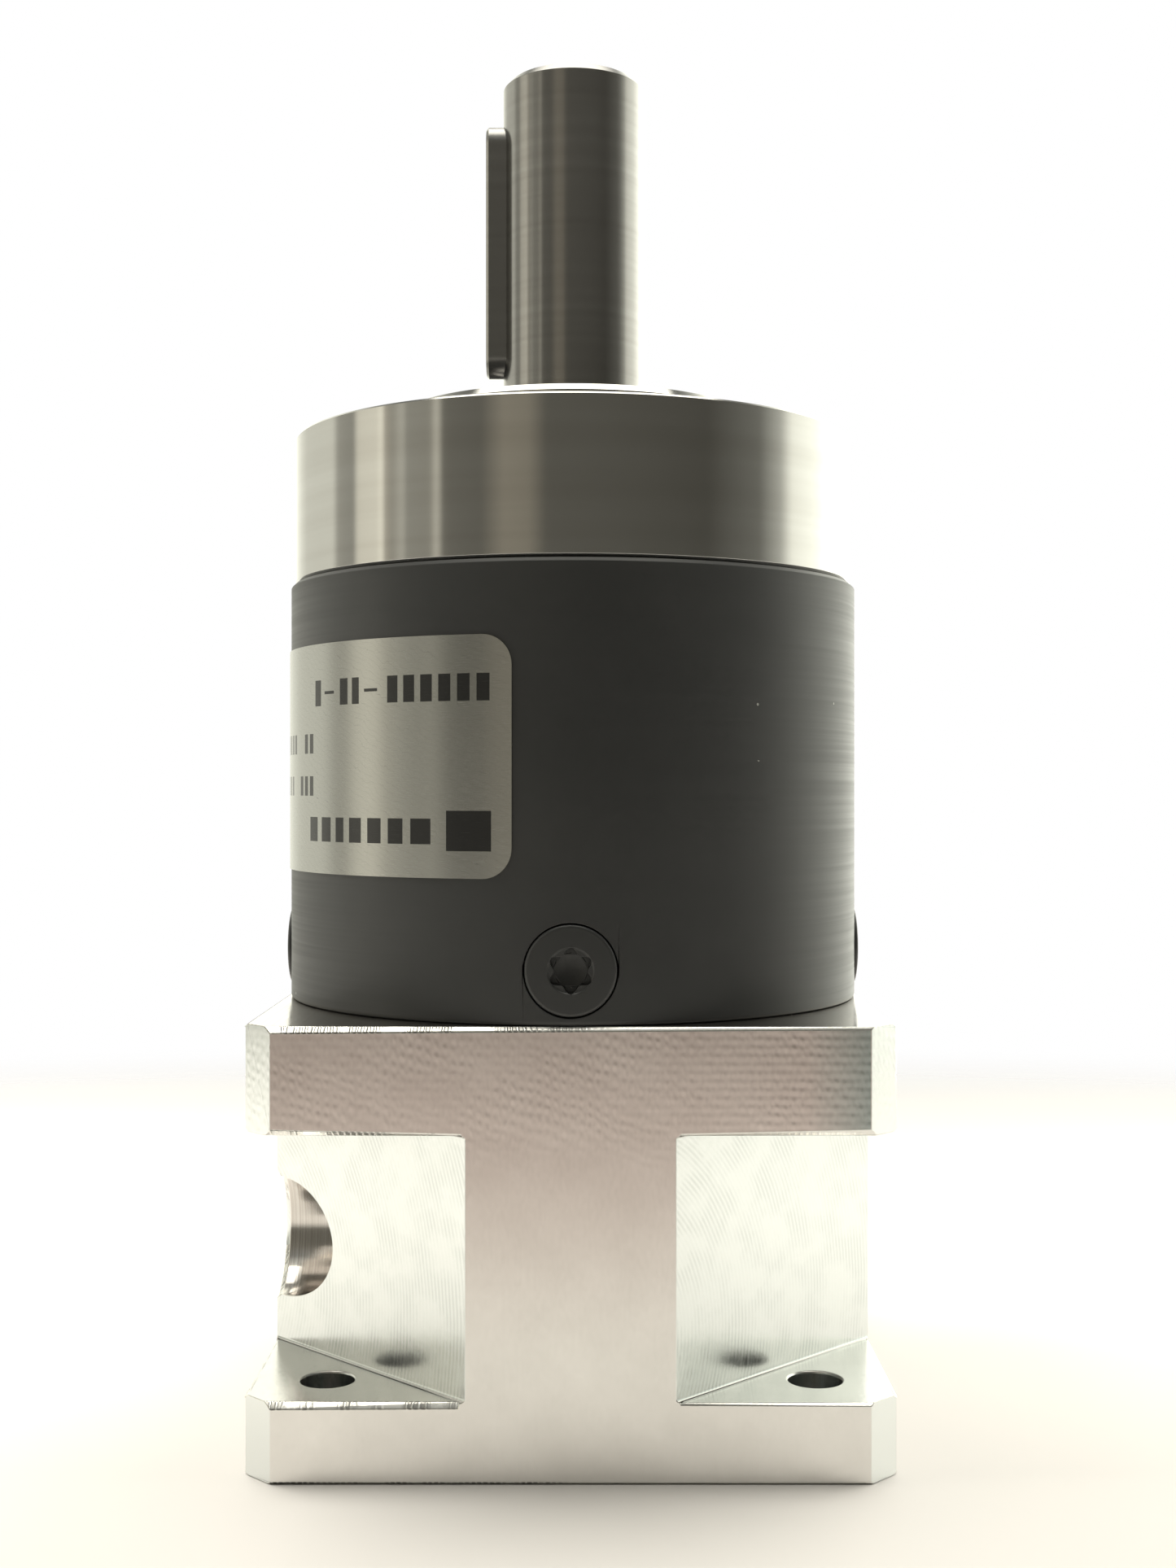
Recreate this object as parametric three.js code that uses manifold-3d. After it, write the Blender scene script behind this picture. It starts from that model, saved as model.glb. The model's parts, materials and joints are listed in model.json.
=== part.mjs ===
// Single-stage planetary gearbox, 5:1, size 40. Millimetres, +Z along the shafts.
// The origin is the centre of the motor face. The motor side is down and the output shaft is up.
import * as THREE from 'three';
import { mergeVertices } from 'three/addons/utils/BufferGeometryUtils.js';
import Module from 'manifold-3d';

const wasm = await Module();
wasm.setup();

// ---------------------------------------------------------------- driving dimensions

const SEAT_GAP = 0.05; // radial play left between parts that are pressed together
const RUNNING_GAP = 0.08; // radial play of parts that turn on each other

const GEAR = {
  module: 0.65,
  pressureAngle: THREE.MathUtils.degToRad(20),
  sunTeeth: 12,
  planetTeeth: 18,
  ringTeeth: 48,
  planets: 3,
  backlash: 0.06, // taken off each tooth's thickness, and added to each ring space
  dedendum: 1.25, // in modules, as are the addenda
  sunAddendum: 1.0,
  planetAddendum: 0.85,
  ringAddendum: 0.8,
};

const ADAPTER = {
  side: 40,
  height: 28,
  topFlange: 6.45,
  baseFlange: 5,
  cornerChamfer: 1.8,
  flatWidth: 12.9, // width of the column's four flats, flush with the flanges
  spigotRadius: 16.85,
  spigotHeight: 7,
  pilotRadius: 11,
  shoulderRadius: 10,
  shoulderZ: 17,
};

const MOTOR_HOLE = { spacing: 31, radius: 1.7 };

const ACCESS_HOLE = { radius: 4, offsetY: -6.8, z: 11.4 };

const HOUSING = {
  radius: 20,
  z: 28,
  height: 28.8,
  seatRadius: 16.9,
  seatDepth: 7.4,
  flangeSeatRadius: 17.2,
  flangeSeatDepth: 7.4,
  edge: 0.35,
};

const FLANGE = {
  radius: 19.7,
  height: 10.2,
  spigotRadius: 13,
  spigotHeight: 2,
  sleeveRadius: 17.15,
  sleeveDepth: 7.2,
  lowerEdge: 0.4,
  edge: 0.2,
  shoulderRadius: 9.6,
  sealRadius: 11.05,
};

const OUTPUT_HOLE = { pitchRadius: 17, radius: 1.65, depth: 8, count: 4 };

// Deep-groove ball bearing 12 x 24 x 6, used three times.
const BEARING = {
  boreRadius: 6,
  outerRadius: 12,
  width: 6,
  ballRadius: 1.5,
  pitchRadius: 9,
  balls: 8,
  innerLand: 7.9,
  outerLand: 10.1,
  grooveHalfWidth: 1.5,
  grooveDepth: 0.55,
  cageHalfThickness: 0.5,
  cageHalfHeight: 1.1,
};

const REAR_BEARING_Z = 51.4;
const FRONT_BEARING_Z = 58.4;
const INPUT_BEARING_Z = 18.4;

const RETAINING_RING = { thickness: 1, grooveDepth: 0.55, grooveWidth: 1.1, gapDegrees: 40 };

const CARRIER = {
  radius: 13.4,
  z: 35.6,
  lowerPlate: 2,
  upperZ: 46.8,
  upperPlate: 2.6,
  shoulderRadius: 7,
  centreHoleRadius: 5.2,
  webOffset: 11,
  webRadius: 2,
};

const SHAFT = {
  radius: 5,
  journalRadius: 5.95,
  collarZ: 69.2,
  topZ: 93,
  edge: 0.4,
  threadRadius: 1.25,
  threadDepth: 9,
  centreRadius: 1.9,
  centreDepth: 1.1,
};

const KEY = { width: 3, height: 3, length: 18, z: 72, seatDepth: 1.8 };

const PLANET = { z: 38.2, height: 8, boreRadius: 3, pinRadius: 1.98, washerRadius: 3.9, washer: 0.45 };

const SUN = { topZ: 45.9, teethZ: 37.4, neckRadius: 3.0 };

const HUB = {
  z: 6,
  clampRadius: 4.9,
  boreRadius: 4,
  boreDepth: 19,
  shoulderRadius: 7.2,
  shoulderZ: 16.6,
  journalRadius: 5.95,
  topZ: 26.4,
  coneZ: 28.6,
  slotWidth: 1,
  slotTop: 15.4,
};

const CLAMP = {
  innerRadius: 4.95,
  outerRadius: 10.2,
  halfHeight: 4.2,
  slitWidth: 1.2,
  screwRadius: 1.2,
  holeRadius: 1.3,
  screwHeadRadius: 2.2,
  screwHeadSeatX: -3.3,
  screwHeadHeight: 2.2,
  screwLength: 9,
  socketWidth: 2,
  socketDepth: 1.2,
};

const SEAL = { z: 65.6, height: 3.1, lipRadius: 6.1, pocketRadius: 7.4, caseRadius: 10, pocketDepth: 1.2 };

const HOUSING_SCREW = {
  z: 31.4,
  faceRadius: 20.1,
  headRadius: 2.85,
  headHeight: 1.8,
  headEdge: 0.25,
  shankRadius: 1.42,
  shankLength: 5,
  pocketRadius: 3,
  pocketFloor: 18.25,
  clearRadius: 1.6,
  threadRadius: 1.5,
  recessRadius: 1.45,
  recessInnerRadius: 1.05,
  recessDepth: 1,
  recessLobes: 6,
};

const LABEL = {
  innerRadius: 20.03,
  outerRadius: 20.1,
  z: 37,
  height: 15.1,
  width: 42,
  cornerRadius: 1.9,
  cornerSteps: 4,
  startDegrees: 259.6,
  stepDegrees: 6,
};

// Each count divides the next larger one, so that nested facets stay clear of each other.
const SEGMENTS = { body: 48, shaft: 24, small: 16, screw: 12, ball: 6 };

// ---------------------------------------------------------------- materials

const finish = (color, roughness, metalness) => () =>
  new THREE.MeshStandardMaterial({ color, roughness, metalness });

const milledAluminium = finish(0xd4d3cf, 0.35, 1);
const blackOxide = finish(0x2e2f2e, 0.45, 0.6);
const turnedSteel = finish(0x9a9993, 0.3, 1);
const groundSteel = finish(0x6f6c66, 0.25, 1);
const gearSteel = finish(0x7b7a78, 0.35, 1);
const bearingSteel = finish(0xb4b6b8, 0.2, 1);
const springSteel = finish(0x3b3c3d, 0.4, 0.9);
const blackScrew = finish(0x1c1c1d, 0.4, 0.7);
const silverFoil = finish(0xb9b9b4, 0.35, 0.8);
const nitrileRubber = finish(0x232323, 0.8, 0);

// ---------------------------------------------------------------- solids

// Triangles with two equal corners are left behind where a turned profile meets its axis.
function withoutSlivers(index) {
  const kept = [];
  for (let i = 0; i < index.length; i += 3) {
    const [a, b, c] = index.slice(i, i + 3);
    if (a !== b && b !== c && c !== a) kept.push(a, b, c);
  }
  return kept;
}

function signedVolume(position, index) {
  const corner = (i) => new THREE.Vector3().fromBufferAttribute(position, i);
  let sum = 0;
  for (let i = 0; i < index.length; i += 3) {
    sum += corner(index[i]).dot(corner(index[i + 1]).cross(corner(index[i + 2])));
  }
  return sum / 6;
}

// Welds a closed three.js geometry into a solid that can be joined and cut.
function solidOf(geometry) {
  geometry.deleteAttribute('normal');
  geometry.deleteAttribute('uv');
  const welded = mergeVertices(geometry);
  const position = welded.getAttribute('position');
  const triangles = withoutSlivers(Array.from(welded.getIndex().array));
  if (signedVolume(position, triangles) < 0) triangles.reverse();
  const mesh = new wasm.Mesh({
    numProp: 3,
    vertProperties: new Float32Array(position.array),
    triVerts: new Uint32Array(triangles),
  });
  return new wasm.Manifold(mesh);
}

function geometryOf(solid) {
  const mesh = solid.getMesh();
  const geometry = new THREE.BufferGeometry();
  geometry.setAttribute('position', new THREE.BufferAttribute(new Float32Array(mesh.vertProperties), 3));
  geometry.setIndex(Array.from(mesh.triVerts));
  geometry.computeVertexNormals();
  return geometry;
}

// A solid of revolution about Z from [radius, z] pairs that go once round the section.
function turned(profile, segments) {
  const points = profile.map(([radius, z]) => new THREE.Vector2(radius, z));
  if (profile.every(([radius]) => radius > 0)) points.push(points[0].clone());
  return solidOf(new THREE.LatheGeometry(points, segments).rotateX(Math.PI / 2));
}

function cylinder(radius, z0, z1, segments) {
  return turned([[0, z0], [radius, z0], [radius, z1], [0, z1]], segments);
}

function tube(inner, outer, z0, z1, segments) {
  return turned([[inner, z0], [outer, z0], [outer, z1], [inner, z1]], segments);
}

function prism(outline, z0, z1) {
  const shape = new THREE.Shape(outline.map(([x, y]) => new THREE.Vector2(x, y)));
  const geometry = new THREE.ExtrudeGeometry(shape, { depth: z1 - z0, bevelEnabled: false });
  return solidOf(geometry.translate(0, 0, z0));
}

function box(size, centre) {
  return solidOf(new THREE.BoxGeometry(...size).translate(...centre));
}

// A rod along X, from x0 to x1, through the point (y, z).
function rodAlongX(radius, x0, x1, y, z, segments) {
  const geometry = new THREE.CylinderGeometry(radius, radius, x1 - x0, segments);
  return solidOf(geometry.rotateZ(Math.PI / 2).translate((x0 + x1) / 2, y, z));
}

function cutAll(solid, tools) {
  return tools.reduce((left, tool) => left.subtract(tool), solid);
}

function turnedCopies(solid, count, firstDegrees = 0) {
  return Array.from({ length: count }, (_, i) => solid.rotate([0, 0, firstDegrees + (360 * i) / count]));
}

const polar = (radius, angle) => [radius * Math.cos(angle), radius * Math.sin(angle)];

// ---------------------------------------------------------------- gears

const pitchRadiusOf = (teeth) => (GEAR.module * teeth) / 2;
const involute = (angle) => Math.tan(angle) - angle;

// Half the angle that a tooth spans at a radius. Inside the base circle its flank is radial.
function halfToothAngle(teeth, thickness, radius) {
  const pitchRadius = pitchRadiusOf(teeth);
  const baseRadius = pitchRadius * Math.cos(GEAR.pressureAngle);
  const pressure = Math.acos(Math.min(1, baseRadius / radius));
  return thickness / 2 / pitchRadius + involute(GEAR.pressureAngle) - involute(pressure);
}

// The closed outline of a gear's teeth, with the first tooth centred on firstTooth.
function gearOutline({ teeth, rootRadius, tipRadius, thickness, firstTooth, flankSteps }) {
  const steps = Array.from({ length: flankSteps + 1 }, (_, i) => i / flankSteps);
  const radii = steps.map((t) => THREE.MathUtils.lerp(rootRadius, tipRadius, t));
  const half = radii.map((radius) => halfToothAngle(teeth, thickness, radius));
  const outline = [];
  for (let tooth = 0; tooth < teeth; tooth += 1) {
    const centre = firstTooth + (2 * Math.PI * tooth) / teeth;
    radii.forEach((radius, i) => outline.push(polar(radius, centre - half[i])));
    radii.toReversed().forEach((radius, i) => outline.push(polar(radius, centre + half.toReversed()[i])));
  }
  return outline;
}

const circularThickness = (Math.PI * GEAR.module) / 2;
const planetOrbitRadius = pitchRadiusOf(GEAR.sunTeeth) + pitchRadiusOf(GEAR.planetTeeth);

// At rest each planet points a tooth at the sun and one at the ring, where both have a space.
const sunOutline = gearOutline({
  teeth: GEAR.sunTeeth,
  rootRadius: pitchRadiusOf(GEAR.sunTeeth) - GEAR.dedendum * GEAR.module,
  tipRadius: pitchRadiusOf(GEAR.sunTeeth) + GEAR.sunAddendum * GEAR.module,
  thickness: circularThickness - GEAR.backlash,
  firstTooth: Math.PI / GEAR.sunTeeth,
  flankSteps: 3,
});

const planetOutline = gearOutline({
  teeth: GEAR.planetTeeth,
  rootRadius: pitchRadiusOf(GEAR.planetTeeth) - GEAR.dedendum * GEAR.module,
  tipRadius: pitchRadiusOf(GEAR.planetTeeth) + GEAR.planetAddendum * GEAR.module,
  thickness: circularThickness - GEAR.backlash,
  firstTooth: 0,
  flankSteps: 3,
});

const ringSpacesOutline = gearOutline({
  teeth: GEAR.ringTeeth,
  rootRadius: pitchRadiusOf(GEAR.ringTeeth) - GEAR.ringAddendum * GEAR.module,
  tipRadius: pitchRadiusOf(GEAR.ringTeeth) + GEAR.dedendum * GEAR.module,
  thickness: circularThickness + GEAR.backlash,
  firstTooth: 0,
  flankSteps: 2,
});

// ---------------------------------------------------------------- housing parts

// A square with its corners cut, or with wide cuts, the octagonal column.
function chamferedSquare(side, chamfer) {
  const h = side / 2;
  const c = h - chamfer;
  return [[h, -c], [h, c], [c, h], [-c, h], [-h, c], [-h, -c], [-c, -h], [c, -h]];
}

function motorAdapter() {
  const top = ADAPTER.height;
  const square = chamferedSquare(ADAPTER.side, ADAPTER.cornerChamfer);
  const column = chamferedSquare(ADAPTER.side, (ADAPTER.side - ADAPTER.flatWidth) / 2);
  const bearingTop = INPUT_BEARING_Z + BEARING.width;
  const spigotTop = top + ADAPTER.spigotHeight;
  const seatRadius = BEARING.outerRadius + SEAT_GAP;
  const grooveRadius = seatRadius + RETAINING_RING.grooveDepth;
  const grooveTop = bearingTop + RETAINING_RING.grooveWidth;
  const block = prism(square, 0, ADAPTER.baseFlange)
    .add(prism(square, top - ADAPTER.topFlange, top))
    .add(prism(column, 0, top))
    .add(cylinder(ADAPTER.spigotRadius, top - 1, spigotTop, SEGMENTS.body));
  const bore = turned([
    [0, -1],
    [ADAPTER.pilotRadius, -1],
    [ADAPTER.pilotRadius, ADAPTER.shoulderZ],
    [ADAPTER.shoulderRadius, ADAPTER.shoulderZ],
    [ADAPTER.shoulderRadius, INPUT_BEARING_Z],
    [seatRadius, INPUT_BEARING_Z],
    [seatRadius, bearingTop],
    [grooveRadius, bearingTop],
    [grooveRadius, grooveTop],
    [seatRadius, grooveTop],
    [seatRadius, spigotTop + 1],
    [0, spigotTop + 1],
  ], SEGMENTS.shaft);
  const motorHole = cylinder(MOTOR_HOLE.radius, -1, ADAPTER.baseFlange + 1, SEGMENTS.screw)
    .translate([MOTOR_HOLE.spacing / 2, MOTOR_HOLE.spacing / 2, 0]);
  const screwHole = rodAlongX(HOUSING_SCREW.threadRadius, BEARING.outerRadius - 1, HOUSING.radius, 0,
    HOUSING_SCREW.z, SEGMENTS.screw);
  const accessHole = rodAlongX(ACCESS_HOLE.radius, -ADAPTER.side, 0, ACCESS_HOLE.offsetY, ACCESS_HOLE.z,
    SEGMENTS.shaft);
  return cutAll(block, [
    bore,
    accessHole.subtract(cylinder(ADAPTER.pilotRadius - 1, 0, ADAPTER.height, SEGMENTS.shaft)),
    ...turnedCopies(motorHole, 4),
    ...turnedCopies(screwHole, 4),
  ]);
}

function ringGearHousing() {
  const bottom = HOUSING.z;
  const top = bottom + HOUSING.height;
  const teethBottom = bottom + HOUSING.seatDepth;
  const teethTop = top - HOUSING.flangeSeatDepth;
  const body = turned([
    [0, bottom],
    [HOUSING.radius, bottom],
    [HOUSING.radius, top - HOUSING.edge],
    [HOUSING.radius - HOUSING.edge, top],
    [0, top],
  ], SEGMENTS.body);
  const screwPocket = rodAlongX(HOUSING_SCREW.pocketRadius, HOUSING_SCREW.pocketFloor, HOUSING.radius + 1, 0,
    HOUSING_SCREW.z, SEGMENTS.small);
  const screwHole = rodAlongX(HOUSING_SCREW.clearRadius, HOUSING.seatRadius - 1, HOUSING.radius, 0,
    HOUSING_SCREW.z, SEGMENTS.screw);
  return cutAll(body, [
    cylinder(HOUSING.seatRadius, bottom - 1, teethBottom, SEGMENTS.body),
    prism(ringSpacesOutline, teethBottom - 1, teethTop + 1),
    cylinder(HOUSING.flangeSeatRadius, teethTop, top + 1, SEGMENTS.body),
    ...turnedCopies(screwPocket.add(screwHole), 4),
  ]);
}

function outputFlange() {
  const bottom = HOUSING.z + HOUSING.height;
  const face = bottom + FLANGE.height;
  const spigotTop = face + FLANGE.spigotHeight;
  const sleeveBottom = bottom - FLANGE.sleeveDepth;
  const seatRadius = BEARING.outerRadius + SEAT_GAP;
  const grooveRadius = seatRadius + RETAINING_RING.grooveDepth;
  const frontBearingTop = FRONT_BEARING_Z + BEARING.width;
  const body = turned([
    [FLANGE.sleeveRadius, sleeveBottom],
    [FLANGE.sleeveRadius, bottom],
    [FLANGE.radius - FLANGE.lowerEdge, bottom],
    [FLANGE.radius, bottom + FLANGE.lowerEdge],
    [FLANGE.radius, face - FLANGE.edge],
    [FLANGE.radius - FLANGE.edge, face],
    [FLANGE.spigotRadius, face],
    [FLANGE.spigotRadius, spigotTop - FLANGE.edge],
    [FLANGE.spigotRadius - FLANGE.edge, spigotTop],
    [FLANGE.sealRadius, spigotTop],
    [FLANGE.sealRadius, SEAL.z - SEAT_GAP],
    [FLANGE.shoulderRadius, SEAL.z - SEAT_GAP],
    [FLANGE.shoulderRadius, frontBearingTop],
    [seatRadius, frontBearingTop],
    [seatRadius, REAR_BEARING_Z],
    [grooveRadius, REAR_BEARING_Z],
    [grooveRadius, REAR_BEARING_Z - RETAINING_RING.grooveWidth],
    [seatRadius, REAR_BEARING_Z - RETAINING_RING.grooveWidth],
    [seatRadius, sleeveBottom],
  ], SEGMENTS.body);
  const hole = cylinder(OUTPUT_HOLE.radius, face - OUTPUT_HOLE.depth, face + 1, SEGMENTS.screw)
    .translate([OUTPUT_HOLE.pitchRadius, 0, 0]);
  return cutAll(body, turnedCopies(hole, OUTPUT_HOLE.count, 45));
}

function lobedOutline(outerRadius, innerRadius, lobes) {
  return Array.from({ length: 2 * lobes }, (_, i) =>
    polar(i % 2 ? innerRadius : outerRadius, (Math.PI * i) / lobes));
}

// Along Z, with the head's face at z = 0 and the shank below it.
function housingScrew() {
  const s = HOUSING_SCREW;
  const body = turned([
    [0, -s.headHeight - s.shankLength],
    [s.shankRadius, -s.headHeight - s.shankLength],
    [s.shankRadius, -s.headHeight],
    [s.headRadius, -s.headHeight],
    [s.headRadius, -s.headEdge],
    [s.headRadius - s.headEdge, 0],
    [0, 0],
  ], SEGMENTS.small);
  const outline = lobedOutline(s.recessRadius, s.recessInnerRadius, s.recessLobes);
  return body.subtract(prism(outline, -s.recessDepth, 1));
}

// A thin sheet with round corners, wrapped on the housing.
function ratingLabel() {
  const spread = THREE.MathUtils.radToDeg(LABEL.width / LABEL.outerRadius);
  const cornerSpread = THREE.MathUtils.radToDeg(LABEL.cornerRadius / LABEL.outerRadius);
  const corner = Array.from({ length: LABEL.cornerSteps + 1 }, (_, i) => {
    const turn = (Math.PI / 2) * (i / LABEL.cornerSteps);
    return { along: cornerSpread * (1 - Math.cos(turn)), inset: LABEL.cornerRadius * (1 - Math.sin(turn)) };
  });
  const middleSteps = Math.ceil((spread - 2 * cornerSpread) / LABEL.stepDegrees);
  const middle = Array.from({ length: middleSteps - 1 }, (_, i) => ({
    along: THREE.MathUtils.lerp(cornerSpread, spread - cornerSpread, (i + 1) / middleSteps),
    inset: 0,
  }));
  const farCorner = corner.toReversed().map(({ along, inset }) => ({ along: spread - along, inset }));
  const stations = [...corner, ...middle, ...farCorner];
  const positions = stations.flatMap(({ along, inset }) => {
    const angle = THREE.MathUtils.degToRad(LABEL.startDegrees - along);
    const low = LABEL.z + inset;
    const high = LABEL.z + LABEL.height - inset;
    const outer = polar(LABEL.outerRadius, angle);
    const inner = polar(LABEL.innerRadius, angle);
    return [...outer, low, ...outer, high, ...inner, high, ...inner, low];
  });
  const index = [0, 1, 2, 0, 2, 3];
  for (let station = 0; station < stations.length - 1; station += 1) {
    for (let side = 0; side < 4; side += 1) {
      const a = 4 * station + side;
      const b = 4 * station + ((side + 1) % 4);
      index.push(a, a + 4, b + 4, a, b + 4, b);
    }
  }
  const last = 4 * (stations.length - 1);
  index.push(last, last + 2, last + 1, last, last + 3, last + 2);
  const geometry = new THREE.BufferGeometry();
  geometry.setAttribute('position', new THREE.Float32BufferAttribute(positions, 3));
  geometry.setIndex(index);
  return solidOf(geometry);
}

function shaftSeal() {
  const top = SEAL.height;
  return turned([
    [SEAL.lipRadius, top * 0.6],
    [SEAL.pocketRadius, 0],
    [FLANGE.sealRadius - SEAT_GAP, 0],
    [FLANGE.sealRadius - SEAT_GAP, top],
    [SEAL.caseRadius, top],
    [SEAL.pocketRadius, top - SEAL.pocketDepth],
    [SEAL.lipRadius, top],
  ], SEGMENTS.shaft);
}

// ---------------------------------------------------------------- bearings, from z = 0 up

function grooved(landRadius, grooveRadius, farRadius) {
  const middle = BEARING.width / 2;
  const reach = BEARING.grooveHalfWidth;
  return turned([
    [farRadius, 0],
    [landRadius, 0],
    [landRadius, middle - reach],
    [grooveRadius, middle - reach / 2],
    [grooveRadius, middle + reach / 2],
    [landRadius, middle + reach],
    [landRadius, BEARING.width],
    [farRadius, BEARING.width],
  ], SEGMENTS.shaft);
}

function outerRace() {
  return grooved(BEARING.outerLand, BEARING.outerLand + BEARING.grooveDepth, BEARING.outerRadius);
}

function innerRace() {
  const bore = BEARING.boreRadius + SEAT_GAP;
  return grooved(BEARING.innerLand, BEARING.innerLand - BEARING.grooveDepth, bore);
}

function ballCage() {
  const middle = BEARING.width / 2;
  const cage = tube(BEARING.pitchRadius - BEARING.cageHalfThickness,
    BEARING.pitchRadius + BEARING.cageHalfThickness, middle - BEARING.cageHalfHeight,
    middle + BEARING.cageHalfHeight, SEGMENTS.shaft);
  const ball = solidOf(new THREE.SphereGeometry(BEARING.ballRadius, SEGMENTS.ball, SEGMENTS.ball - 2))
    .translate([BEARING.pitchRadius, 0, middle]);
  return turnedCopies(ball, BEARING.balls).reduce((joined, next) => joined.add(next), cage);
}

// An open ring for a groove, with its gap on +X.
function retainingRing(inner, outer) {
  const wedge = outer * 2;
  const half = THREE.MathUtils.degToRad(RETAINING_RING.gapDegrees / 2);
  const gap = prism([[0, 0], polar(wedge, -half), polar(wedge, half)], -1, RETAINING_RING.thickness + 1);
  return tube(inner, outer, 0, RETAINING_RING.thickness, SEGMENTS.shaft).subtract(gap);
}

function boreRetainingRing() {
  const outer = BEARING.outerRadius + RETAINING_RING.grooveDepth - SEAT_GAP;
  return retainingRing(outer - 1.9, outer);
}

function shaftRetainingRing() {
  const inner = SHAFT.journalRadius - RETAINING_RING.grooveDepth + SEAT_GAP;
  return retainingRing(inner, inner + 1.6);
}

// ---------------------------------------------------------------- output side

// The section of a shaft groove that a retaining ring sits in, as a cutting ring.
function shaftGroove(z) {
  const inner = SHAFT.journalRadius - RETAINING_RING.grooveDepth;
  return tube(inner, SHAFT.journalRadius + 1, z, z + RETAINING_RING.grooveWidth, SEGMENTS.shaft);
}

// A slot with round ends, standing on the YZ plane from x0 to x1.
function roundEndedBar(width, length, x0, x1) {
  const half = width / 2;
  const shape = new THREE.Shape();
  shape.moveTo(-half, half);
  shape.absarc(0, half, half, Math.PI, 2 * Math.PI);
  shape.absarc(0, length - half, half, 0, Math.PI);
  const settings = { depth: x1 - x0, bevelEnabled: false, curveSegments: SEGMENTS.screw / 2 };
  const geometry = new THREE.ExtrudeGeometry(shape, settings);
  const upright = new THREE.Matrix4().makeBasis(
    new THREE.Vector3(0, 1, 0), new THREE.Vector3(0, 0, 1), new THREE.Vector3(1, 0, 0));
  return solidOf(geometry.applyMatrix4(upright).translate(x0, 0, 0));
}

function planetCarrierShaft() {
  const lowerTop = CARRIER.z + CARRIER.lowerPlate;
  const upperTop = CARRIER.upperZ + CARRIER.upperPlate;
  const shaft = turned([
    [0, CARRIER.upperZ],
    [CARRIER.radius, CARRIER.upperZ],
    [CARRIER.radius, upperTop],
    [CARRIER.shoulderRadius, upperTop],
    [CARRIER.shoulderRadius, REAR_BEARING_Z],
    [SHAFT.journalRadius, REAR_BEARING_Z],
    [SHAFT.journalRadius, SHAFT.collarZ],
    [SHAFT.radius, SHAFT.collarZ],
    [SHAFT.radius, SHAFT.topZ - SHAFT.edge],
    [SHAFT.radius - SHAFT.edge, SHAFT.topZ],
    [0, SHAFT.topZ],
  ], SEGMENTS.shaft);
  const plate = tube(CARRIER.centreHoleRadius, CARRIER.radius, CARRIER.z, lowerTop, SEGMENTS.shaft);
  const web = cylinder(CARRIER.webRadius, lowerTop - 1, CARRIER.upperZ + 1, SEGMENTS.small)
    .translate([CARRIER.webOffset, 0, 0]);
  const pinHole = cylinder(PLANET.pinRadius + SEAT_GAP, CARRIER.z - 1, upperTop + 1, SEGMENTS.small)
    .translate([planetOrbitRadius, 0, 0]);
  const keySeat = roundEndedBar(KEY.width + 2 * SEAT_GAP, KEY.length + 2 * SEAT_GAP, -SHAFT.radius - 1,
    -SHAFT.radius + KEY.seatDepth + SEAT_GAP);
  const centreHole = turned([
    [0, SHAFT.topZ - SHAFT.threadDepth],
    [SHAFT.threadRadius, SHAFT.topZ - SHAFT.threadDepth],
    [SHAFT.threadRadius, SHAFT.topZ - SHAFT.centreDepth],
    [SHAFT.centreRadius, SHAFT.topZ],
    [SHAFT.centreRadius, SHAFT.topZ + 1],
    [0, SHAFT.topZ + 1],
  ], SEGMENTS.screw);
  const webs = turnedCopies(web, GEAR.planets, 180 / GEAR.planets);
  const body = webs.reduce((joined, next) => joined.add(next), shaft.add(plate));
  return cutAll(body, [
    ...turnedCopies(pinHole, GEAR.planets),
    shaftGroove(FRONT_BEARING_Z + BEARING.width),
    keySeat.translate([0, 0, KEY.z - SEAT_GAP]),
    centreHole,
  ]);
}

function shaftKey() {
  const bottomX = -SHAFT.radius + KEY.seatDepth;
  return roundEndedBar(KEY.width, KEY.length, bottomX - KEY.height, bottomX);
}

function planetGear() {
  const bore = cylinder(PLANET.boreRadius, -1, PLANET.height + 1, SEGMENTS.small);
  return prism(planetOutline, 0, PLANET.height).subtract(bore);
}

function planetNeedleBearing() {
  return tube(PLANET.pinRadius + RUNNING_GAP, PLANET.boreRadius - SEAT_GAP, 0, PLANET.height, SEGMENTS.small);
}

function planetPin() {
  const top = CARRIER.upperZ + CARRIER.upperPlate;
  return cylinder(PLANET.pinRadius, CARRIER.z, top, SEGMENTS.small);
}

function planetWasher() {
  return tube(PLANET.pinRadius + SEAT_GAP, PLANET.washerRadius, 0, PLANET.washer, SEGMENTS.small);
}

// ---------------------------------------------------------------- input side

function sunGearHub() {
  const body = turned([
    [0, HUB.z],
    [HUB.clampRadius, HUB.z],
    [HUB.clampRadius, HUB.shoulderZ],
    [HUB.shoulderRadius, HUB.shoulderZ],
    [HUB.shoulderRadius, INPUT_BEARING_Z],
    [HUB.journalRadius, INPUT_BEARING_Z],
    [HUB.journalRadius, HUB.topZ],
    [SUN.neckRadius, HUB.coneZ],
    [SUN.neckRadius, SUN.topZ],
    [0, SUN.topZ],
  ], SEGMENTS.shaft);
  const bore = cylinder(HUB.boreRadius, HUB.z - 1, HUB.z + HUB.boreDepth, SEGMENTS.shaft);
  const slot = box([HUB.clampRadius * 3, HUB.slotWidth, HUB.slotTop - HUB.z + 1],
    [0, 0, (HUB.slotTop + HUB.z - 1) / 2]);
  return cutAll(body.add(prism(sunOutline, SUN.teethZ, SUN.topZ)), [
    bore,
    slot.rotate([0, 0, 45]),
    slot.rotate([0, 0, -45]),
    shaftGroove(INPUT_BEARING_Z + BEARING.width),
  ]);
}

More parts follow.
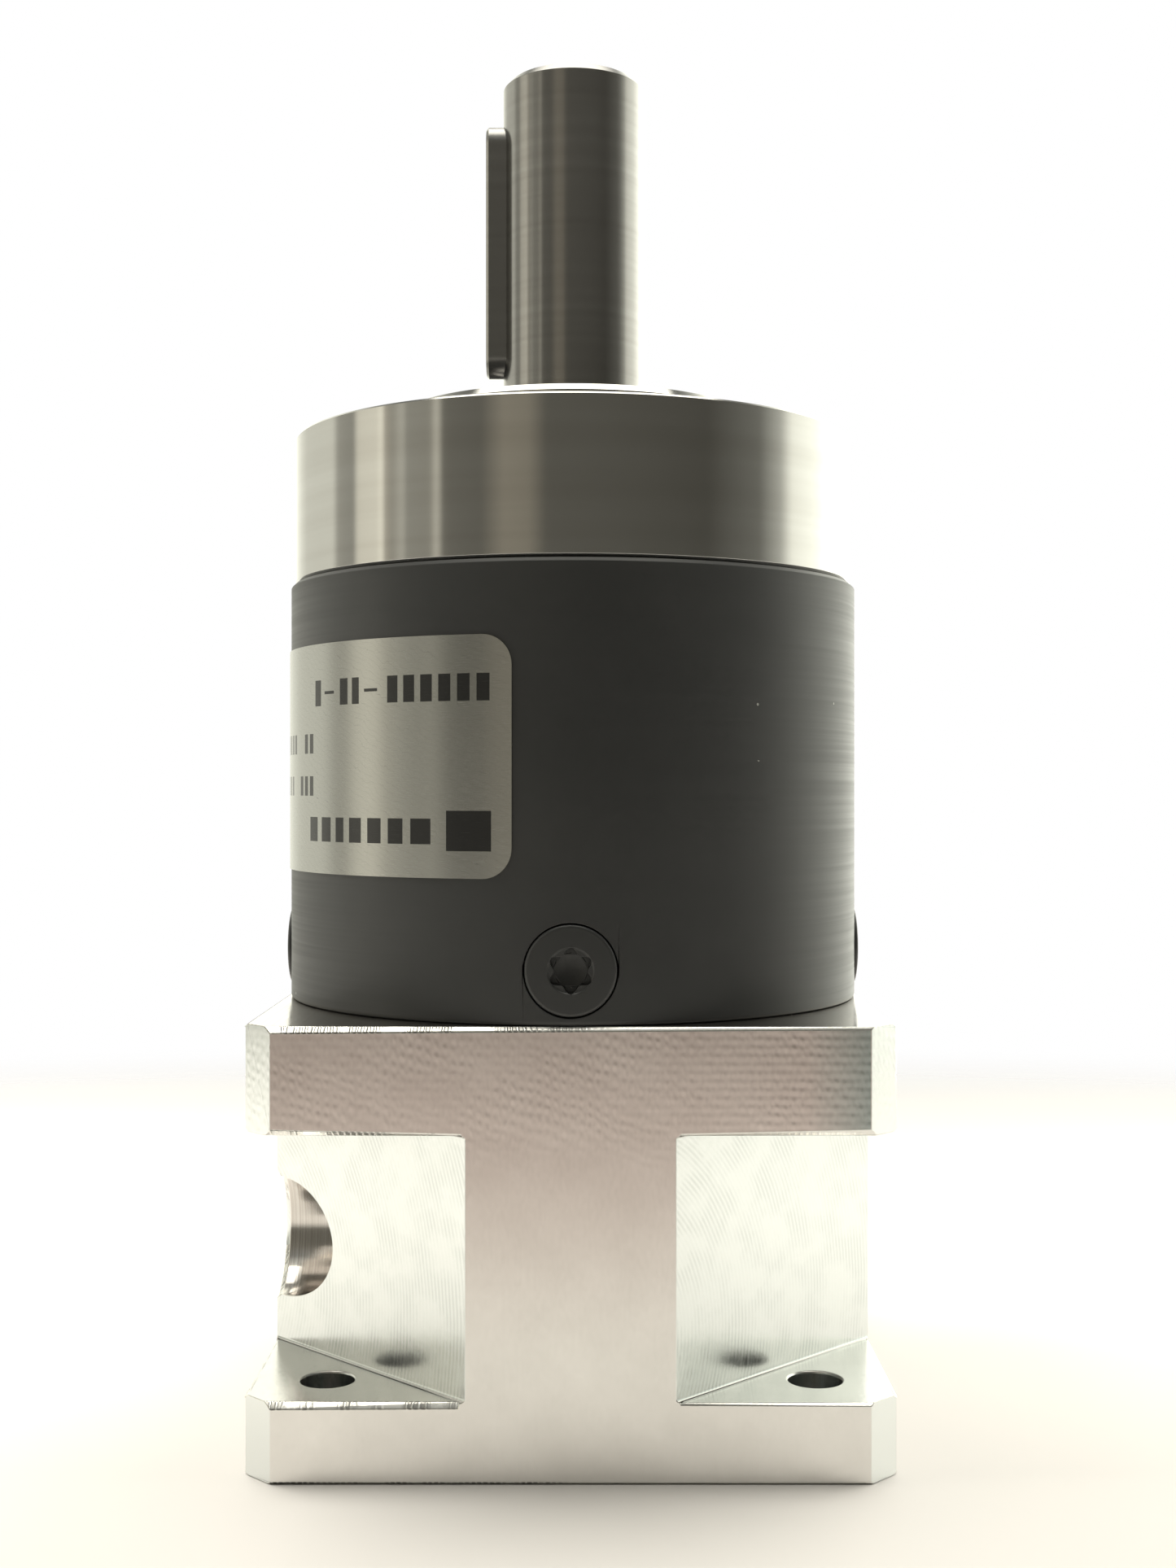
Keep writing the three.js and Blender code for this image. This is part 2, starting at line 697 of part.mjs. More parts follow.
// Centred on z = 0. Its slit crosses the screw, below the hub.
function clampRing() {
  const ring = tube(CLAMP.innerRadius, CLAMP.outerRadius, -CLAMP.halfHeight, CLAMP.halfHeight, SEGMENTS.shaft);
  const slit = box([CLAMP.slitWidth, CLAMP.outerRadius, CLAMP.halfHeight * 3], [0, -CLAMP.outerRadius + 1, 0]);
  const reach = CLAMP.outerRadius + 1;
  return cutAll(ring, [
    slit,
    rodAlongX(CLAMP.holeRadius, -reach, reach, ACCESS_HOLE.offsetY, 0, SEGMENTS.screw),
    rodAlongX(CLAMP.screwHeadRadius + SEAT_GAP, -reach, CLAMP.screwHeadSeatX, ACCESS_HOLE.offsetY, 0,
      SEGMENTS.small),
  ]);
}

// Along +Z from the underside of the head, which is at z = 0.
function clampScrew() {
  const body = turned([
    [0, -CLAMP.screwHeadHeight],
    [CLAMP.screwHeadRadius, -CLAMP.screwHeadHeight],
    [CLAMP.screwHeadRadius, -SEAT_GAP],
    [CLAMP.screwRadius, -SEAT_GAP],
    [CLAMP.screwRadius, CLAMP.screwLength],
    [0, CLAMP.screwLength],
  ], SEGMENTS.small);
  const socket = lobedOutline(CLAMP.socketWidth / Math.sqrt(3), CLAMP.socketWidth / 2, 6);
  return body.subtract(prism(socket, -CLAMP.screwHeadHeight - 1, CLAMP.screwHeadHeight * -1 + CLAMP.socketDepth));
}

// ---------------------------------------------------------------- assembly

const gearbox = new THREE.Group();

function place(name, solid, material, parent, z = 0) {
  const mesh = new THREE.Mesh(geometryOf(solid), material());
  mesh.name = name;
  mesh.position.z = z;
  parent.add(mesh);
  return mesh;
}

function groupTurned(degrees, parent) {
  const group = new THREE.Group();
  group.rotation.z = THREE.MathUtils.degToRad(degrees);
  parent.add(group);
  return group;
}

place('motor_adapter', motorAdapter(), milledAluminium, gearbox);
place('ring_gear_housing', ringGearHousing(), blackOxide, gearbox);
place('output_flange', outputFlange(), turnedSteel, gearbox);
place('rating_label', ratingLabel(), silverFoil, gearbox);
place('shaft_seal', shaftSeal(), nitrileRubber, gearbox, SEAL.z);

for (let i = 0; i < 4; i += 1) {
  const side = groupTurned(90 * i - 90, gearbox);
  const screw = place(`housing_screw_${i + 1}`, housingScrew(), blackScrew, side, HOUSING_SCREW.z);
  screw.position.x = HOUSING_SCREW.faceRadius;
  screw.rotation.y = Math.PI / 2;
}

for (const [name, z] of [
  ['rear_bearing', REAR_BEARING_Z],
  ['front_bearing', FRONT_BEARING_Z],
  ['input_bearing', INPUT_BEARING_Z],
]) {
  place(`${name}_outer_race`, outerRace(), bearingSteel, gearbox, z);
  place(`${name}_inner_race`, innerRace(), bearingSteel, gearbox, z);
  place(`${name}_ball_cage`, ballCage(), bearingSteel, gearbox, z);
}

const spacerZ = REAR_BEARING_Z + BEARING.width;
const spacerGap = FRONT_BEARING_Z - spacerZ;
place('bearing_outer_spacer', tube(BEARING.outerLand, BEARING.outerRadius, 0, spacerGap, SEGMENTS.shaft),
  gearSteel, gearbox, spacerZ);
place('bearing_inner_spacer',
  tube(BEARING.boreRadius + SEAT_GAP, BEARING.innerLand, 0, spacerGap, SEGMENTS.shaft),
  gearSteel, gearbox, spacerZ);
place('flange_retaining_ring', boreRetainingRing(), springSteel, gearbox,
  REAR_BEARING_Z - RETAINING_RING.grooveWidth + SEAT_GAP);
place('output_shaft_retaining_ring', shaftRetainingRing(), springSteel, gearbox,
  FRONT_BEARING_Z + BEARING.width + SEAT_GAP);
place('adapter_retaining_ring', boreRetainingRing(), springSteel, gearbox,
  INPUT_BEARING_Z + BEARING.width + SEAT_GAP);
place('input_hub_retaining_ring', shaftRetainingRing(), springSteel, gearbox,
  INPUT_BEARING_Z + BEARING.width + SEAT_GAP);

place('planet_carrier_shaft', planetCarrierShaft(), groundSteel, gearbox);
place('shaft_key', shaftKey(), groundSteel, gearbox, KEY.z);

for (let i = 0; i < GEAR.planets; i += 1) {
  const number = i + 1;
  const pin = new THREE.Group();
  pin.position.x = planetOrbitRadius;
  groupTurned((360 * i) / GEAR.planets, gearbox).add(pin);
  place(`planet_pin_${number}`, planetPin(), bearingSteel, pin);
  place(`planet_gear_${number}`, planetGear(), gearSteel, pin, PLANET.z);
  place(`planet_needle_bearing_${number}`, planetNeedleBearing(), bearingSteel, pin, PLANET.z);
  place(`planet_lower_washer_${number}`, planetWasher(), bearingSteel, pin,
    PLANET.z - PLANET.washer - SEAT_GAP);
  place(`planet_upper_washer_${number}`, planetWasher(), bearingSteel, pin,
    PLANET.z + PLANET.height + SEAT_GAP);
}

place('sun_gear_hub', sunGearHub(), gearSteel, gearbox);
place('clamp_ring', clampRing(), springSteel, gearbox, ACCESS_HOLE.z);
const clampScrewMesh = place('clamp_screw', clampScrew(), blackScrew, gearbox, ACCESS_HOLE.z);
clampScrewMesh.position.x = CLAMP.screwHeadSeatX;
clampScrewMesh.position.y = ACCESS_HOLE.offsetY;
clampScrewMesh.rotation.y = Math.PI / 2;

export default gearbox;
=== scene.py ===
"""Looks of the planetary gearbox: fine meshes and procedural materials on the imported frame.

The frame is in metres, with +Z along both shafts and the motor face at z = 0. The meshes below are
drawn in millimetres and scaled once, in adopt().
"""

import json
import math

import bmesh
import bpy
from mathutils import Matrix, Vector


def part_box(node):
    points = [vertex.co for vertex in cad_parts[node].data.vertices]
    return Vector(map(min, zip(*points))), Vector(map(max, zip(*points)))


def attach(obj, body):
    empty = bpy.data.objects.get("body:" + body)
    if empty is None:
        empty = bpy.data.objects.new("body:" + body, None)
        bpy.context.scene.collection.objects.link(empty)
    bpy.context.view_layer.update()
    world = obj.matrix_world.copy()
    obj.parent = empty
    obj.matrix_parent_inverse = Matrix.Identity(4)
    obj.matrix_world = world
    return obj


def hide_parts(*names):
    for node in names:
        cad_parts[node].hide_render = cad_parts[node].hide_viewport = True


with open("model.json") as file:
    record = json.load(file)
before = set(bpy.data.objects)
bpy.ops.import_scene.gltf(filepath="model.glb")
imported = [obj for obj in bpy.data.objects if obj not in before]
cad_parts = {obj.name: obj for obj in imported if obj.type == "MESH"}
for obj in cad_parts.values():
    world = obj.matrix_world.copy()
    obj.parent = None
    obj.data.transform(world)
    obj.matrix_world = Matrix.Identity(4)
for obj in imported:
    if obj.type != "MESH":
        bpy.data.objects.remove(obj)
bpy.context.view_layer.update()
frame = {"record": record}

MM = 0.001
TURN = 2 * math.pi
RECORD = frame["record"]
BODY_OF = {node: body for body, nodes in RECORD["behaviour"]["bodies"].items() for node in nodes}
SLOT_OF = {row["node"]: row["material_slot"] for row in RECORD["subparts"]}


def low(node):
    """The lowest corner of a CAD node, in millimetres."""
    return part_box(node)[0] / MM


def high(node):
    """The highest corner of a CAD node, in millimetres."""
    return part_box(node)[1] / MM


# ---------------------------------------------------------------- sizes, in millimetres

SEGMENTS = 192
HOLE_SEGMENTS = 48
FILLET_STEPS = 4
EDGE_ANGLE = 40  # degrees: sharper edges than this are broken
PAST = 1  # how far a cutter runs out of what it cuts

BODY_LOW = low("ring_gear_housing").z
BODY_TOP = high("ring_gear_housing").z
# The adapter is 0.2 mm wider on each side than the CAD's, its top flange 0.25 mm thicker and its access
# hole 0.7 mm higher.
ADAPTER_HALF = 20.2
ADAPTER_TOP = BODY_LOW
SPIGOT_TOP = high("motor_adapter").z
TOP_FLANGE = 6.7
BASE_FLANGE = 5.0
ACCESS_Y = -6.8
ACCESS_Z = 12.1
CORNER_CHAMFER = 1.8
FLAT_HALF = 6.45
PILOT_RADIUS = 11
SHOULDER_RADIUS = 10
SHOULDER_Z = 17
SPIGOT_RADIUS = 16.85
MOTOR_HOLE = 15.5  # from the axis, along X and along Y

FLANGE_RADIUS = high("output_flange").x
FLANGE_SPIGOT_TOP = high("output_flange").z
FLANGE_FACE = FLANGE_SPIGOT_TOP - 2.0
FLANGE_LOW = low("output_flange").z
SHAFT_TOP = high("planet_carrier_shaft").z
SHAFT_RADIUS = 5
BODY_RADIUS = 20

BEARING_BORE = 6.0
BEARING_OUTER = 12.0
BEARING_WIDTH = 6.0
OUTER_LAND = 10.1
INNER_LAND = 7.9
BALL_RADIUS = 1.5
BALL_PITCH = 9.0
BALLS = 8
BEARING_SEAT = 12.05
JOURNAL = 5.95
SEAT_GROOVE = 12.6  # radius of the groove for a retaining ring in a bore
JOURNAL_GROOVE = 5.4
GROOVE_WIDTH = 1.1

GEAR_MODULE = 0.65
PRESSURE_ANGLE = math.radians(20)
BACKLASH = 0.06
ORBIT = 9.75
PLANETS = 3

SCREW_Z = (low("housing_screw_1").z + high("housing_screw_1").z) / 2
SCREW_FACE = high("housing_screw_2").x


# ---------------------------------------------------------------- mesh tools

def polar(radius, angle):
    return radius * math.cos(angle), radius * math.sin(angle)


def filleted(points):
    """A closed outline from (x, y) or (x, y, radius) corners, each given radius drawn as an arc."""
    outline = []
    for i, corner in enumerate(points):
        here = Vector(corner[:2])
        radius = corner[2] if len(corner) > 2 else 0
        if not radius:
            outline.append(tuple(here))
            continue
        back = (Vector(points[i - 1][:2]) - here).normalized()
        ahead = (Vector(points[(i + 1) % len(points)][:2]) - here).normalized()
        half = back.angle(ahead) / 2
        centre = here + (back + ahead).normalized() * radius / math.sin(half)
        start = here + back * radius / math.tan(half) - centre
        sweep = start.angle_signed(here + ahead * radius / math.tan(half) - centre)
        for step in range(FILLET_STEPS + 1):
            angle = -sweep * step / FILLET_STEPS
            turned = Vector((
                start.x * math.cos(angle) - start.y * math.sin(angle),
                start.x * math.sin(angle) + start.y * math.cos(angle),
            ))
            outline.append(tuple(centre + turned))
    return outline


def lathe(profile, segments=SEGMENTS):
    """A solid of revolution about Z from (radius, z) or (radius, z, fillet) points."""
    bm = bmesh.new()
    points = filleted(profile)
    angles = [TURN * i / segments for i in range(segments)]
    rings = []
    for radius, z in points:
        if radius < 1e-6:
            rings.append([bm.verts.new((0, 0, z))])
        else:
            rings.append([bm.verts.new((*polar(radius, a), z)) for a in angles])
    pairs = list(zip(rings, rings[1:]))
    if all(len(ring) > 1 for ring in rings):
        pairs.append((rings[-1], rings[0]))
    for one, two in pairs:
        for i in range(segments):
            j = (i + 1) % segments
            corners = [one[i % len(one)], one[j % len(one)], two[j % len(two)], two[i % len(two)]]
            bm.faces.new(list(dict.fromkeys(corners)))
    bmesh.ops.recalc_face_normals(bm, faces=bm.faces)
    return as_object(bm)


def prism(outline, z0, z1, chamfer=0.0):
    """An upright prism, with a chamfer round its lower and upper edges."""
    bm = bmesh.new()
    rings = [[bm.verts.new((x, y, z)) for x, y in outline] for z in (z0, z1)]
    count = len(outline)
    bm.faces.new(rings[0])
    bm.faces.new(rings[1])
    for i in range(count):
        j = (i + 1) % count
        bm.faces.new((rings[0][i], rings[0][j], rings[1][j], rings[1][i]))
    bmesh.ops.recalc_face_normals(bm, faces=bm.faces)
    if chamfer:
        for z in (z0, z1):
            edges = [e for e in bm.edges if all(abs(v.co.z - z) < 1e-6 for v in e.verts)]
            bmesh.ops.bevel(bm, geom=edges, offset=chamfer, segments=1, affect="EDGES")
    return as_object(bm)


def as_object(bm):
    mesh = bpy.data.meshes.new("part")
    bm.to_mesh(mesh)
    bm.free()
    obj = bpy.data.objects.new("part", mesh)
    bpy.context.scene.collection.objects.link(obj)
    return obj


def moved(obj, matrix):
    obj.data.transform(matrix)
    return obj


def shifted(obj, x=0.0, y=0.0, z=0.0):
    return moved(obj, Matrix.Translation((x, y, z)))


def spun(obj, degrees, axis="Z"):
    return moved(obj, Matrix.Rotation(math.radians(degrees), 4, axis))


def copy_of(obj):
    twin = bpy.data.objects.new(obj.name, obj.data.copy())
    bpy.context.scene.collection.objects.link(twin)
    return twin


def spun_copies(obj, count, first=0.0):
    """count copies of obj round Z. obj itself is used up."""
    twins = [spun(copy_of(obj), first + 360 * i / count) for i in range(count)]
    bpy.data.objects.remove(obj)
    return twins


def bake_modifiers(obj):
    graph = bpy.context.evaluated_depsgraph_get()
    mesh = bpy.data.meshes.new_from_object(obj.evaluated_get(graph))
    obj.modifiers.clear()
    obj.data = mesh
    return obj


def combined(obj, tools, operation):
    """obj joined with or cut by each tool in turn. The tools are used up."""
    for tool in tools:
        step = obj.modifiers.new("step", "BOOLEAN")
        step.operation = operation
        step.solver = "EXACT"
        step.object = tool
    bake_modifiers(obj)
    for tool in tools:
        bpy.data.objects.remove(tool)
    return obj


def joined(obj, *tools):
    return combined(obj, tools, "UNION")


def cut(obj, *tools):
    return combined(obj, tools, "DIFFERENCE")


def edge_rounded(obj, width, segments=2):
    bevel = obj.modifiers.new("edge", "BEVEL")
    bevel.width = width
    bevel.segments = segments
    bevel.limit_method = "ANGLE"
    bevel.angle_limit = math.radians(EDGE_ANGLE)
    bevel.use_clamp_overlap = False
    bevel.miter_outer = "MITER_ARC"
    return bake_modifiers(obj)


def smooth(obj, degrees=32):
    """Smooth shading that the large faces rule, so that long faces beside a small edge stay even."""
    obj.data.shade_smooth()
    obj.data.set_sharp_from_angle(angle=math.radians(degrees))
    weigh = obj.modifiers.new("weigh", "WEIGHTED_NORMAL")
    weigh.keep_sharp = True
    weigh.weight = 50
    return bake_modifiers(obj)


def planar_map(obj):
    """A UV map in millimetres that lies flat on each face: across it, and up Z or along Y."""
    layer = obj.data.uv_layers.new(name="face_mm")
    for face in obj.data.polygons:
        n = face.normal
        upright = abs(n.z) < 0.8
        across = Vector((-n.y, n.x, 0)).normalized() if upright else Vector((1, 0, 0))
        up = Vector((0, 0, 1)) if upright else Vector((0, 1, 0))
        for loop in face.loop_indices:
            co = obj.data.vertices[obj.data.loops[loop].vertex_index].co
            layer.data[loop].uv = (co.dot(across), co.dot(up))
    return obj


def adopt(obj, node):
    """obj, drawn in millimetres, takes the place, body and finish of a CAD node."""
    obj.data.transform(Matrix.Scale(MM, 4))
    obj.name = f"{node}_finish"
    obj.data.name = obj.name
    if not obj.data.materials:
        obj.data.materials.append(MATERIALS[SLOT_OF[node]])
    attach(obj, BODY_OF[node])
    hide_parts(node)
    return obj


def rod(radius, z0, z1, segments):
    """A plain cylinder on Z."""
    return lathe([(0, z0), (radius, z0), (radius, z1), (0, z1)], segments)


def drill(radius, z0, z1, sink=0.0):
    """A cutter for a hole along Z, open at z1, with a countersink of that depth at its mouth."""
    if not sink:
        return rod(radius, z0, z1 + PAST, HOLE_SEGMENTS)
    return lathe([
        (0, z0), (radius, z0), (radius, z1 - sink), (radius + 2 * sink, z1 + sink), (0, z1 + sink),
    ], HOLE_SEGMENTS)


# ---------------------------------------------------------------- materials

class Nodes:
    """A node tree, built one node at a time."""

    def __init__(self, tree):
        self.tree = tree

    def node(self, kind, **settings):
        made = self.tree.nodes.new(kind)
        for key, value in settings.items():
            setattr(made, key, value)
        return made

    def put(self, socket, value):
        if isinstance(value, bpy.types.NodeSocket):
            self.tree.links.new(value, socket)
        else:
            socket.default_value = value

    def node_with(self, kind, first):
        made = self.node(kind)
        self.put(made.inputs[0], first)
        return made

    def parts(self, vector):
        return self.node_with("ShaderNodeSeparateXYZ", vector).outputs

    def math(self, operation, a, b=0.0, c=0.0):
        made = self.node("ShaderNodeMath", operation=operation)
        for socket, value in zip(made.inputs, (a, b, c)):
            self.put(socket, value)
        return made.outputs[0]

    def ranged(self, value, low_in, high_in, low_out=0.0, high_out=1.0, kind="LINEAR"):
        made = self.node("ShaderNodeMapRange", interpolation_type=kind)
        for socket, number in zip(made.inputs, (value, low_in, high_in, low_out, high_out)):
            self.put(socket, number)
        return made.outputs[0]

    def blend(self, factor, one, two):
        made = self.node("ShaderNodeMix", data_type="RGBA")
        self.put(made.inputs[0], factor)
        self.put(made.inputs[6], (*one, 1.0) if isinstance(one, tuple) else one)
        self.put(made.inputs[7], (*two, 1.0) if isinstance(two, tuple) else two)
        return made.outputs[2]


class Shader(Nodes):
    """A material with one principled surface."""

    def __init__(self, name):
        self.material = bpy.data.materials.new(name)
        self.material.use_nodes = True
        super().__init__(self.material.node_tree)
        self.principled = self.tree.nodes["Principled BSDF"]
        self.place = self.node("ShaderNodeTexCoord").outputs["Object"]

    def surface(self, **values):
        for key, value in values.items():
            self.put(self.principled.inputs[key.replace("_", " ")], value)
        return self.material

    def face_map(self):
        """The mesh's flat UV map, in millimetres, with its two parts."""
        flat = self.node("ShaderNodeUVMap", uv_map="face_mm").outputs[0]
        u, v, _ = self.parts(flat)
        return flat, u, v

    def stretched(self, scale, source=None, turn=(0.0, 0.0, 0.0)):
        made = self.node("ShaderNodeMapping")
        self.put(made.inputs["Vector"], source or self.place)
        made.inputs["Scale"].default_value = scale
        made.inputs["Rotation"].default_value = turn
        return made.outputs[0]

    def noise(self, source, scale=1.0, detail=3.0, roughness=0.5):
        made = self.node("ShaderNodeTexNoise")
        self.put(made.inputs["Vector"], source)
        made.inputs["Scale"].default_value = scale
        made.inputs["Detail"].default_value = detail
        made.inputs["Roughness"].default_value = roughness
        return made.outputs["Fac"]

    def cells(self, source, scale):
        made = self.node("ShaderNodeTexVoronoi")
        self.put(made.inputs["Vector"], source)
        made.inputs["Scale"].default_value = scale
        return made.outputs["Distance"]

    def bump(self, height, strength, distance):
        made = self.node("ShaderNodeBump")
        self.put(made.inputs["Height"], height)
        made.inputs["Strength"].default_value = strength
        made.inputs["Distance"].default_value = distance
        return made.outputs[0]


def turned_metal(name, dark, light, rough, lines=4000.0, line_depth=3e-7, metallic=1.0):
    """A face cut on a lathe: fine lines round the axis that spread highlights along it, and faint stains."""
    s = Shader(name)
    ridges = s.noise(s.stretched((18.0, 18.0, lines)), 1.0, 3.0, 0.6)
    broad = s.noise(s.stretched((12.0, 12.0, lines * 0.2)), 1.0, 2.0, 0.5)
    stains = s.noise(s.place, 40.0, 4.0, 0.6)
    tint = s.math("ADD", s.math("MULTIPLY", broad, 0.6), s.math("MULTIPLY", stains, 0.4))
    around = s.node("ShaderNodeTangent", direction_type="RADIAL", axis="Z")
    return s.surface(
        Base_Color=s.blend(s.ranged(tint, 0.35, 0.65), dark, light),
        Metallic=metallic,
        Roughness=s.ranged(stains, 0.3, 0.75, *rough),
        Anisotropic=0.85,
        Anisotropic_Rotation=0.25,
        Tangent=around.outputs[0],
        Normal=s.bump(ridges, 0.5, line_depth),
    )


# The end mill's marks on the adapter, in millimetres.
SCALE_SLANT = 0.42
SCALE_PITCH = 0.78
FEED_PITCH = 0.52
ARC_PITCH = 0.32
ARC_U = 17.0  # the arcs in a pocket turn round u = -ARC_U, v = ARC_V
ARC_V = 9.0
PAINTED_REFLECTION_FROM = 14.5  # painted dark reflection: a darker grey-green patch grows from here to the value below along a side, above the height after that
PAINTED_REFLECTION_TO = 18.5
PAINTED_REFLECTION_FOOT = 21.0

SLANTED = 0.3  # nx * ny is over this on the faces at 45 degrees, pocket walls and corners alike
CORNER_PLACE = 2.5e-4  # x * y, in square metres: less on a pocket wall, more on a corner


def milled_aluminium():
    """Flat faces milled with an end mill.

    Slanting scales cross the top flange and fade out below it. The pocket walls have fine arcs where the
    cutter swept round.
    Painted light colours the faces at 45 degrees lighter and greener than the rest, and makes the pocket
    walls and corners brighter on the right.
    """
    s = Shader("milled_aluminium")
    flat, u, v = s.face_map()
    bend = s.math("MULTIPLY", s.math("SUBTRACT", s.noise(flat, 0.25, 1.0), 0.5), 1.6)
    slant = s.math("ADD", s.math("ADD", s.math("MULTIPLY", u, SCALE_SLANT), v), bend)
    rows = s.math("SINE", s.math("MULTIPLY", slant, TURN / SCALE_PITCH))
    along = s.math("ADD", u, s.math("MULTIPLY", bend, 0.1))
    columns = s.math("SINE", s.math("MULTIPLY", along, TURN / FEED_PITCH))
    cross = s.math("SINE", s.math("MULTIPLY", v, TURN / FEED_PITCH))
    patch = s.ranged(s.noise(s.stretched((0.16, 0.3, 1.0), flat), 1.0, 2.0), 0.4, 0.6, 0.35, 1.0)
    upper = s.ranged(v, 18.0, 23.0, 0.12, 1.0, "SMOOTHSTEP")
    scales = s.math("MULTIPLY", rows, s.math("MULTIPLY", patch, s.ranged(columns, -1.0, 1.0)))
    lattice = s.math("ADD", columns, s.math("MULTIPLY", cross, 0.7))
    squares = s.math("MULTIPLY", lattice, s.ranged(u, 4.0, 13.0, 0.2, 0.6))
    fine = s.noise(s.stretched((4.0, 1.6, 1.0), flat), 1.0, 3.0, 0.6)
    marks = s.math("MULTIPLY", s.math("ADD", scales, squares), upper)
    height = s.math("ADD", marks, s.math("MULTIPLY", fine, 0.35))

    stains = s.ranged(s.noise(flat, 0.22, 4.0, 0.6), 0.35, 0.65)
    low_tint = s.blend(stains, (0.76, 0.745, 0.72), (0.82, 0.805, 0.78))
    # Painted warm reflection: the metal turns pinker where v, the height on upright faces, is high.
    top_tint_with_painted_warmth = s.blend(stains, (0.80, 0.685, 0.655), (0.86, 0.745, 0.715))
    metal = s.blend(s.ranged(v, 6.0, 24.0, 0.0, 1.0, "SMOOTHSTEP"), low_tint, top_tint_with_painted_warmth)
    # Painted dark reflection: a darker grey-green patch near one end of each side of the top flange.
    painted_dark_reflection = s.math("MULTIPLY", s.ranged(u, PAINTED_REFLECTION_FROM, PAINTED_REFLECTION_TO), s.ranged(v, PAINTED_REFLECTION_FOOT, PAINTED_REFLECTION_FOOT + 0.4))
    metal = s.blend(painted_dark_reflection, metal, (0.50, 0.55, 0.54))

    facing_x, facing_y, _ = s.parts(s.node("ShaderNodeTexCoord").outputs["Normal"])
    x, y, _ = s.parts(s.place)
    slanting = s.math("GREATER_THAN", s.math("ABSOLUTE", s.math("MULTIPLY", facing_x, facing_y)), SLANTED)
    inside = s.math("LESS_THAN", s.math("ABSOLUTE", s.math("MULTIPLY", x, y)), CORNER_PLACE)
    in_pocket = s.math("MULTIPLY", slanting, inside)
    from_u = s.math("ADD", u, ARC_U)
    from_v = s.math("SUBTRACT", v, ARC_V)
    square = s.math("ADD", s.math("MULTIPLY", from_u, from_u), s.math("MULTIPLY", from_v, from_v))
    swept = s.math("ADD", s.math("SQRT", square), s.math("MULTIPLY", bend, 0.12))
    arcs = s.ranged(s.math("SINE", s.math("MULTIPLY", swept, TURN / ARC_PITCH)), -1.0, 1.0)
    shown = s.math("MULTIPLY", arcs, s.ranged(s.noise(flat, 0.4, 3.0), 0.42, 0.6, 0.15, 1.0))
    # Painted light: faces on the right of the adapter (x > 0) get brighter colours, and the faces at 45
    # degrees a lighter, greener one.
    right = s.ranged(x, -0.01, 0.01)
    corner_painted_light = s.blend(right, (0.80, 0.83, 0.82), (0.92, 0.96, 0.95))
    pocket_light = s.blend(right, (0.72, 0.75, 0.74), (0.85, 0.89, 0.88))
    pocket_dark = s.blend(right, (0.60, 0.63, 0.62), (0.72, 0.76, 0.75))
    metal = s.blend(slanting, metal, corner_painted_light)
    metal = s.blend(in_pocket, metal, s.blend(shown, pocket_light, pocket_dark))

    pit_size = s.ranged(s.noise(flat, 0.6, 1.0), 0.55, 0.8, 0.0, 0.04)
    pits = s.math("LESS_THAN", s.cells(flat, 1.1), pit_size)
    return s.surface(
        Base_Color=s.blend(pits, metal, (0.50, 0.47, 0.44)),
        Metallic=1.0,
        Roughness=s.ranged(fine, 0.3, 0.7, 0.19, 0.27),
        Normal=s.bump(height, 0.5, 6e-6),
    )


def milled_edge():
    """The adapter's chamfers: the cutter's steps along them on the left, nearly clean on the right, with
    painted shade darkening the hollows between the steps.
    """
    s = Shader("milled_edge")
    flat, u, _ = s.face_map()
    wobble = s.math("ADD", u, s.math("MULTIPLY", s.noise(flat, 1.4, 2.0), 0.3))
    steps = s.ranged(s.math("SINE", s.math("MULTIPLY", wobble, TURN / 0.38)), -0.2, 0.9)
    broken = s.ranged(s.noise(flat, 0.45, 2.0), 0.42, 0.55)
    left = s.ranged(u, -2.0, 3.5, 1.0, 0.12)
    amount = s.math("MULTIPLY", broken, left)
    height = s.math("MULTIPLY", steps, amount)
    # Painted shade: the hollows between the cutter's steps are coloured dark.
    painted_shade_in_hollows = s.math("MULTIPLY", s.math("SUBTRACT", 1.0, steps), amount)
    return s.surface(
        Base_Color=s.blend(painted_shade_in_hollows, (0.88, 0.87, 0.84), (0.45, 0.44, 0.42)),
        Metallic=1.0,
        Roughness=0.26,
        Normal=s.bump(height, 0.8, 4e-5),
    )


def bored_aluminium():
    """The walls of the bores, with the boring tool's fine rings.

    The rings go round X in the access hole, on the left, and round Z in the main bore.
    """
    s = Shader("bored_aluminium")
    x, _, z = s.parts(s.place)
    left = s.math("LESS_THAN", x, -0.0125)
    along = s.math("ADD", s.math("MULTIPLY", x, left), s.math("MULTIPLY", z, s.math("SUBTRACT", 1.0, left)))
    line = s.node_with("ShaderNodeCombineXYZ", along)
    rings = s.noise(line.outputs[0], 5200.0, 3.0, 0.7)
    stains = s.noise(s.place, 300.0, 3.0)
    return s.surface(
        Base_Color=s.blend(s.ranged(rings, 0.35, 0.65), (0.62, 0.57, 0.53), (0.86, 0.84, 0.81)),
        Metallic=1.0,
        Roughness=s.ranged(stains, 0.3, 0.7, 0.12, 0.2),
        Normal=s.bump(rings, 0.5, 3e-6),
    )


def black_oxide(name, rough):
    """Satin black oxide over fine turning lines, with a few specks of dust."""
    s = Shader(name)
    ridges = s.noise(s.stretched((25.0, 25.0, 3600.0)), 1.0, 4.0, 0.6)
    clouds = s.noise(s.place, 55.0, 4.0, 0.6)
    specks = s.math("LESS_THAN", s.cells(s.place, 620.0), 0.055)
    dust = s.math("MULTIPLY", specks, s.math("GREATER_THAN", s.noise(s.place, 160.0, 1.0), 0.62))
    coat = s.blend(s.ranged(clouds, 0.3, 0.7), (0.031, 0.032, 0.033), (0.045, 0.046, 0.047))
    return s.surface(
        Base_Color=s.blend(dust, coat, (0.32, 0.32, 0.30)),
        Roughness=s.ranged(ridges, 0.3, 0.7, *rough),
        Normal=s.bump(ridges, 0.4, 3e-7),
    )


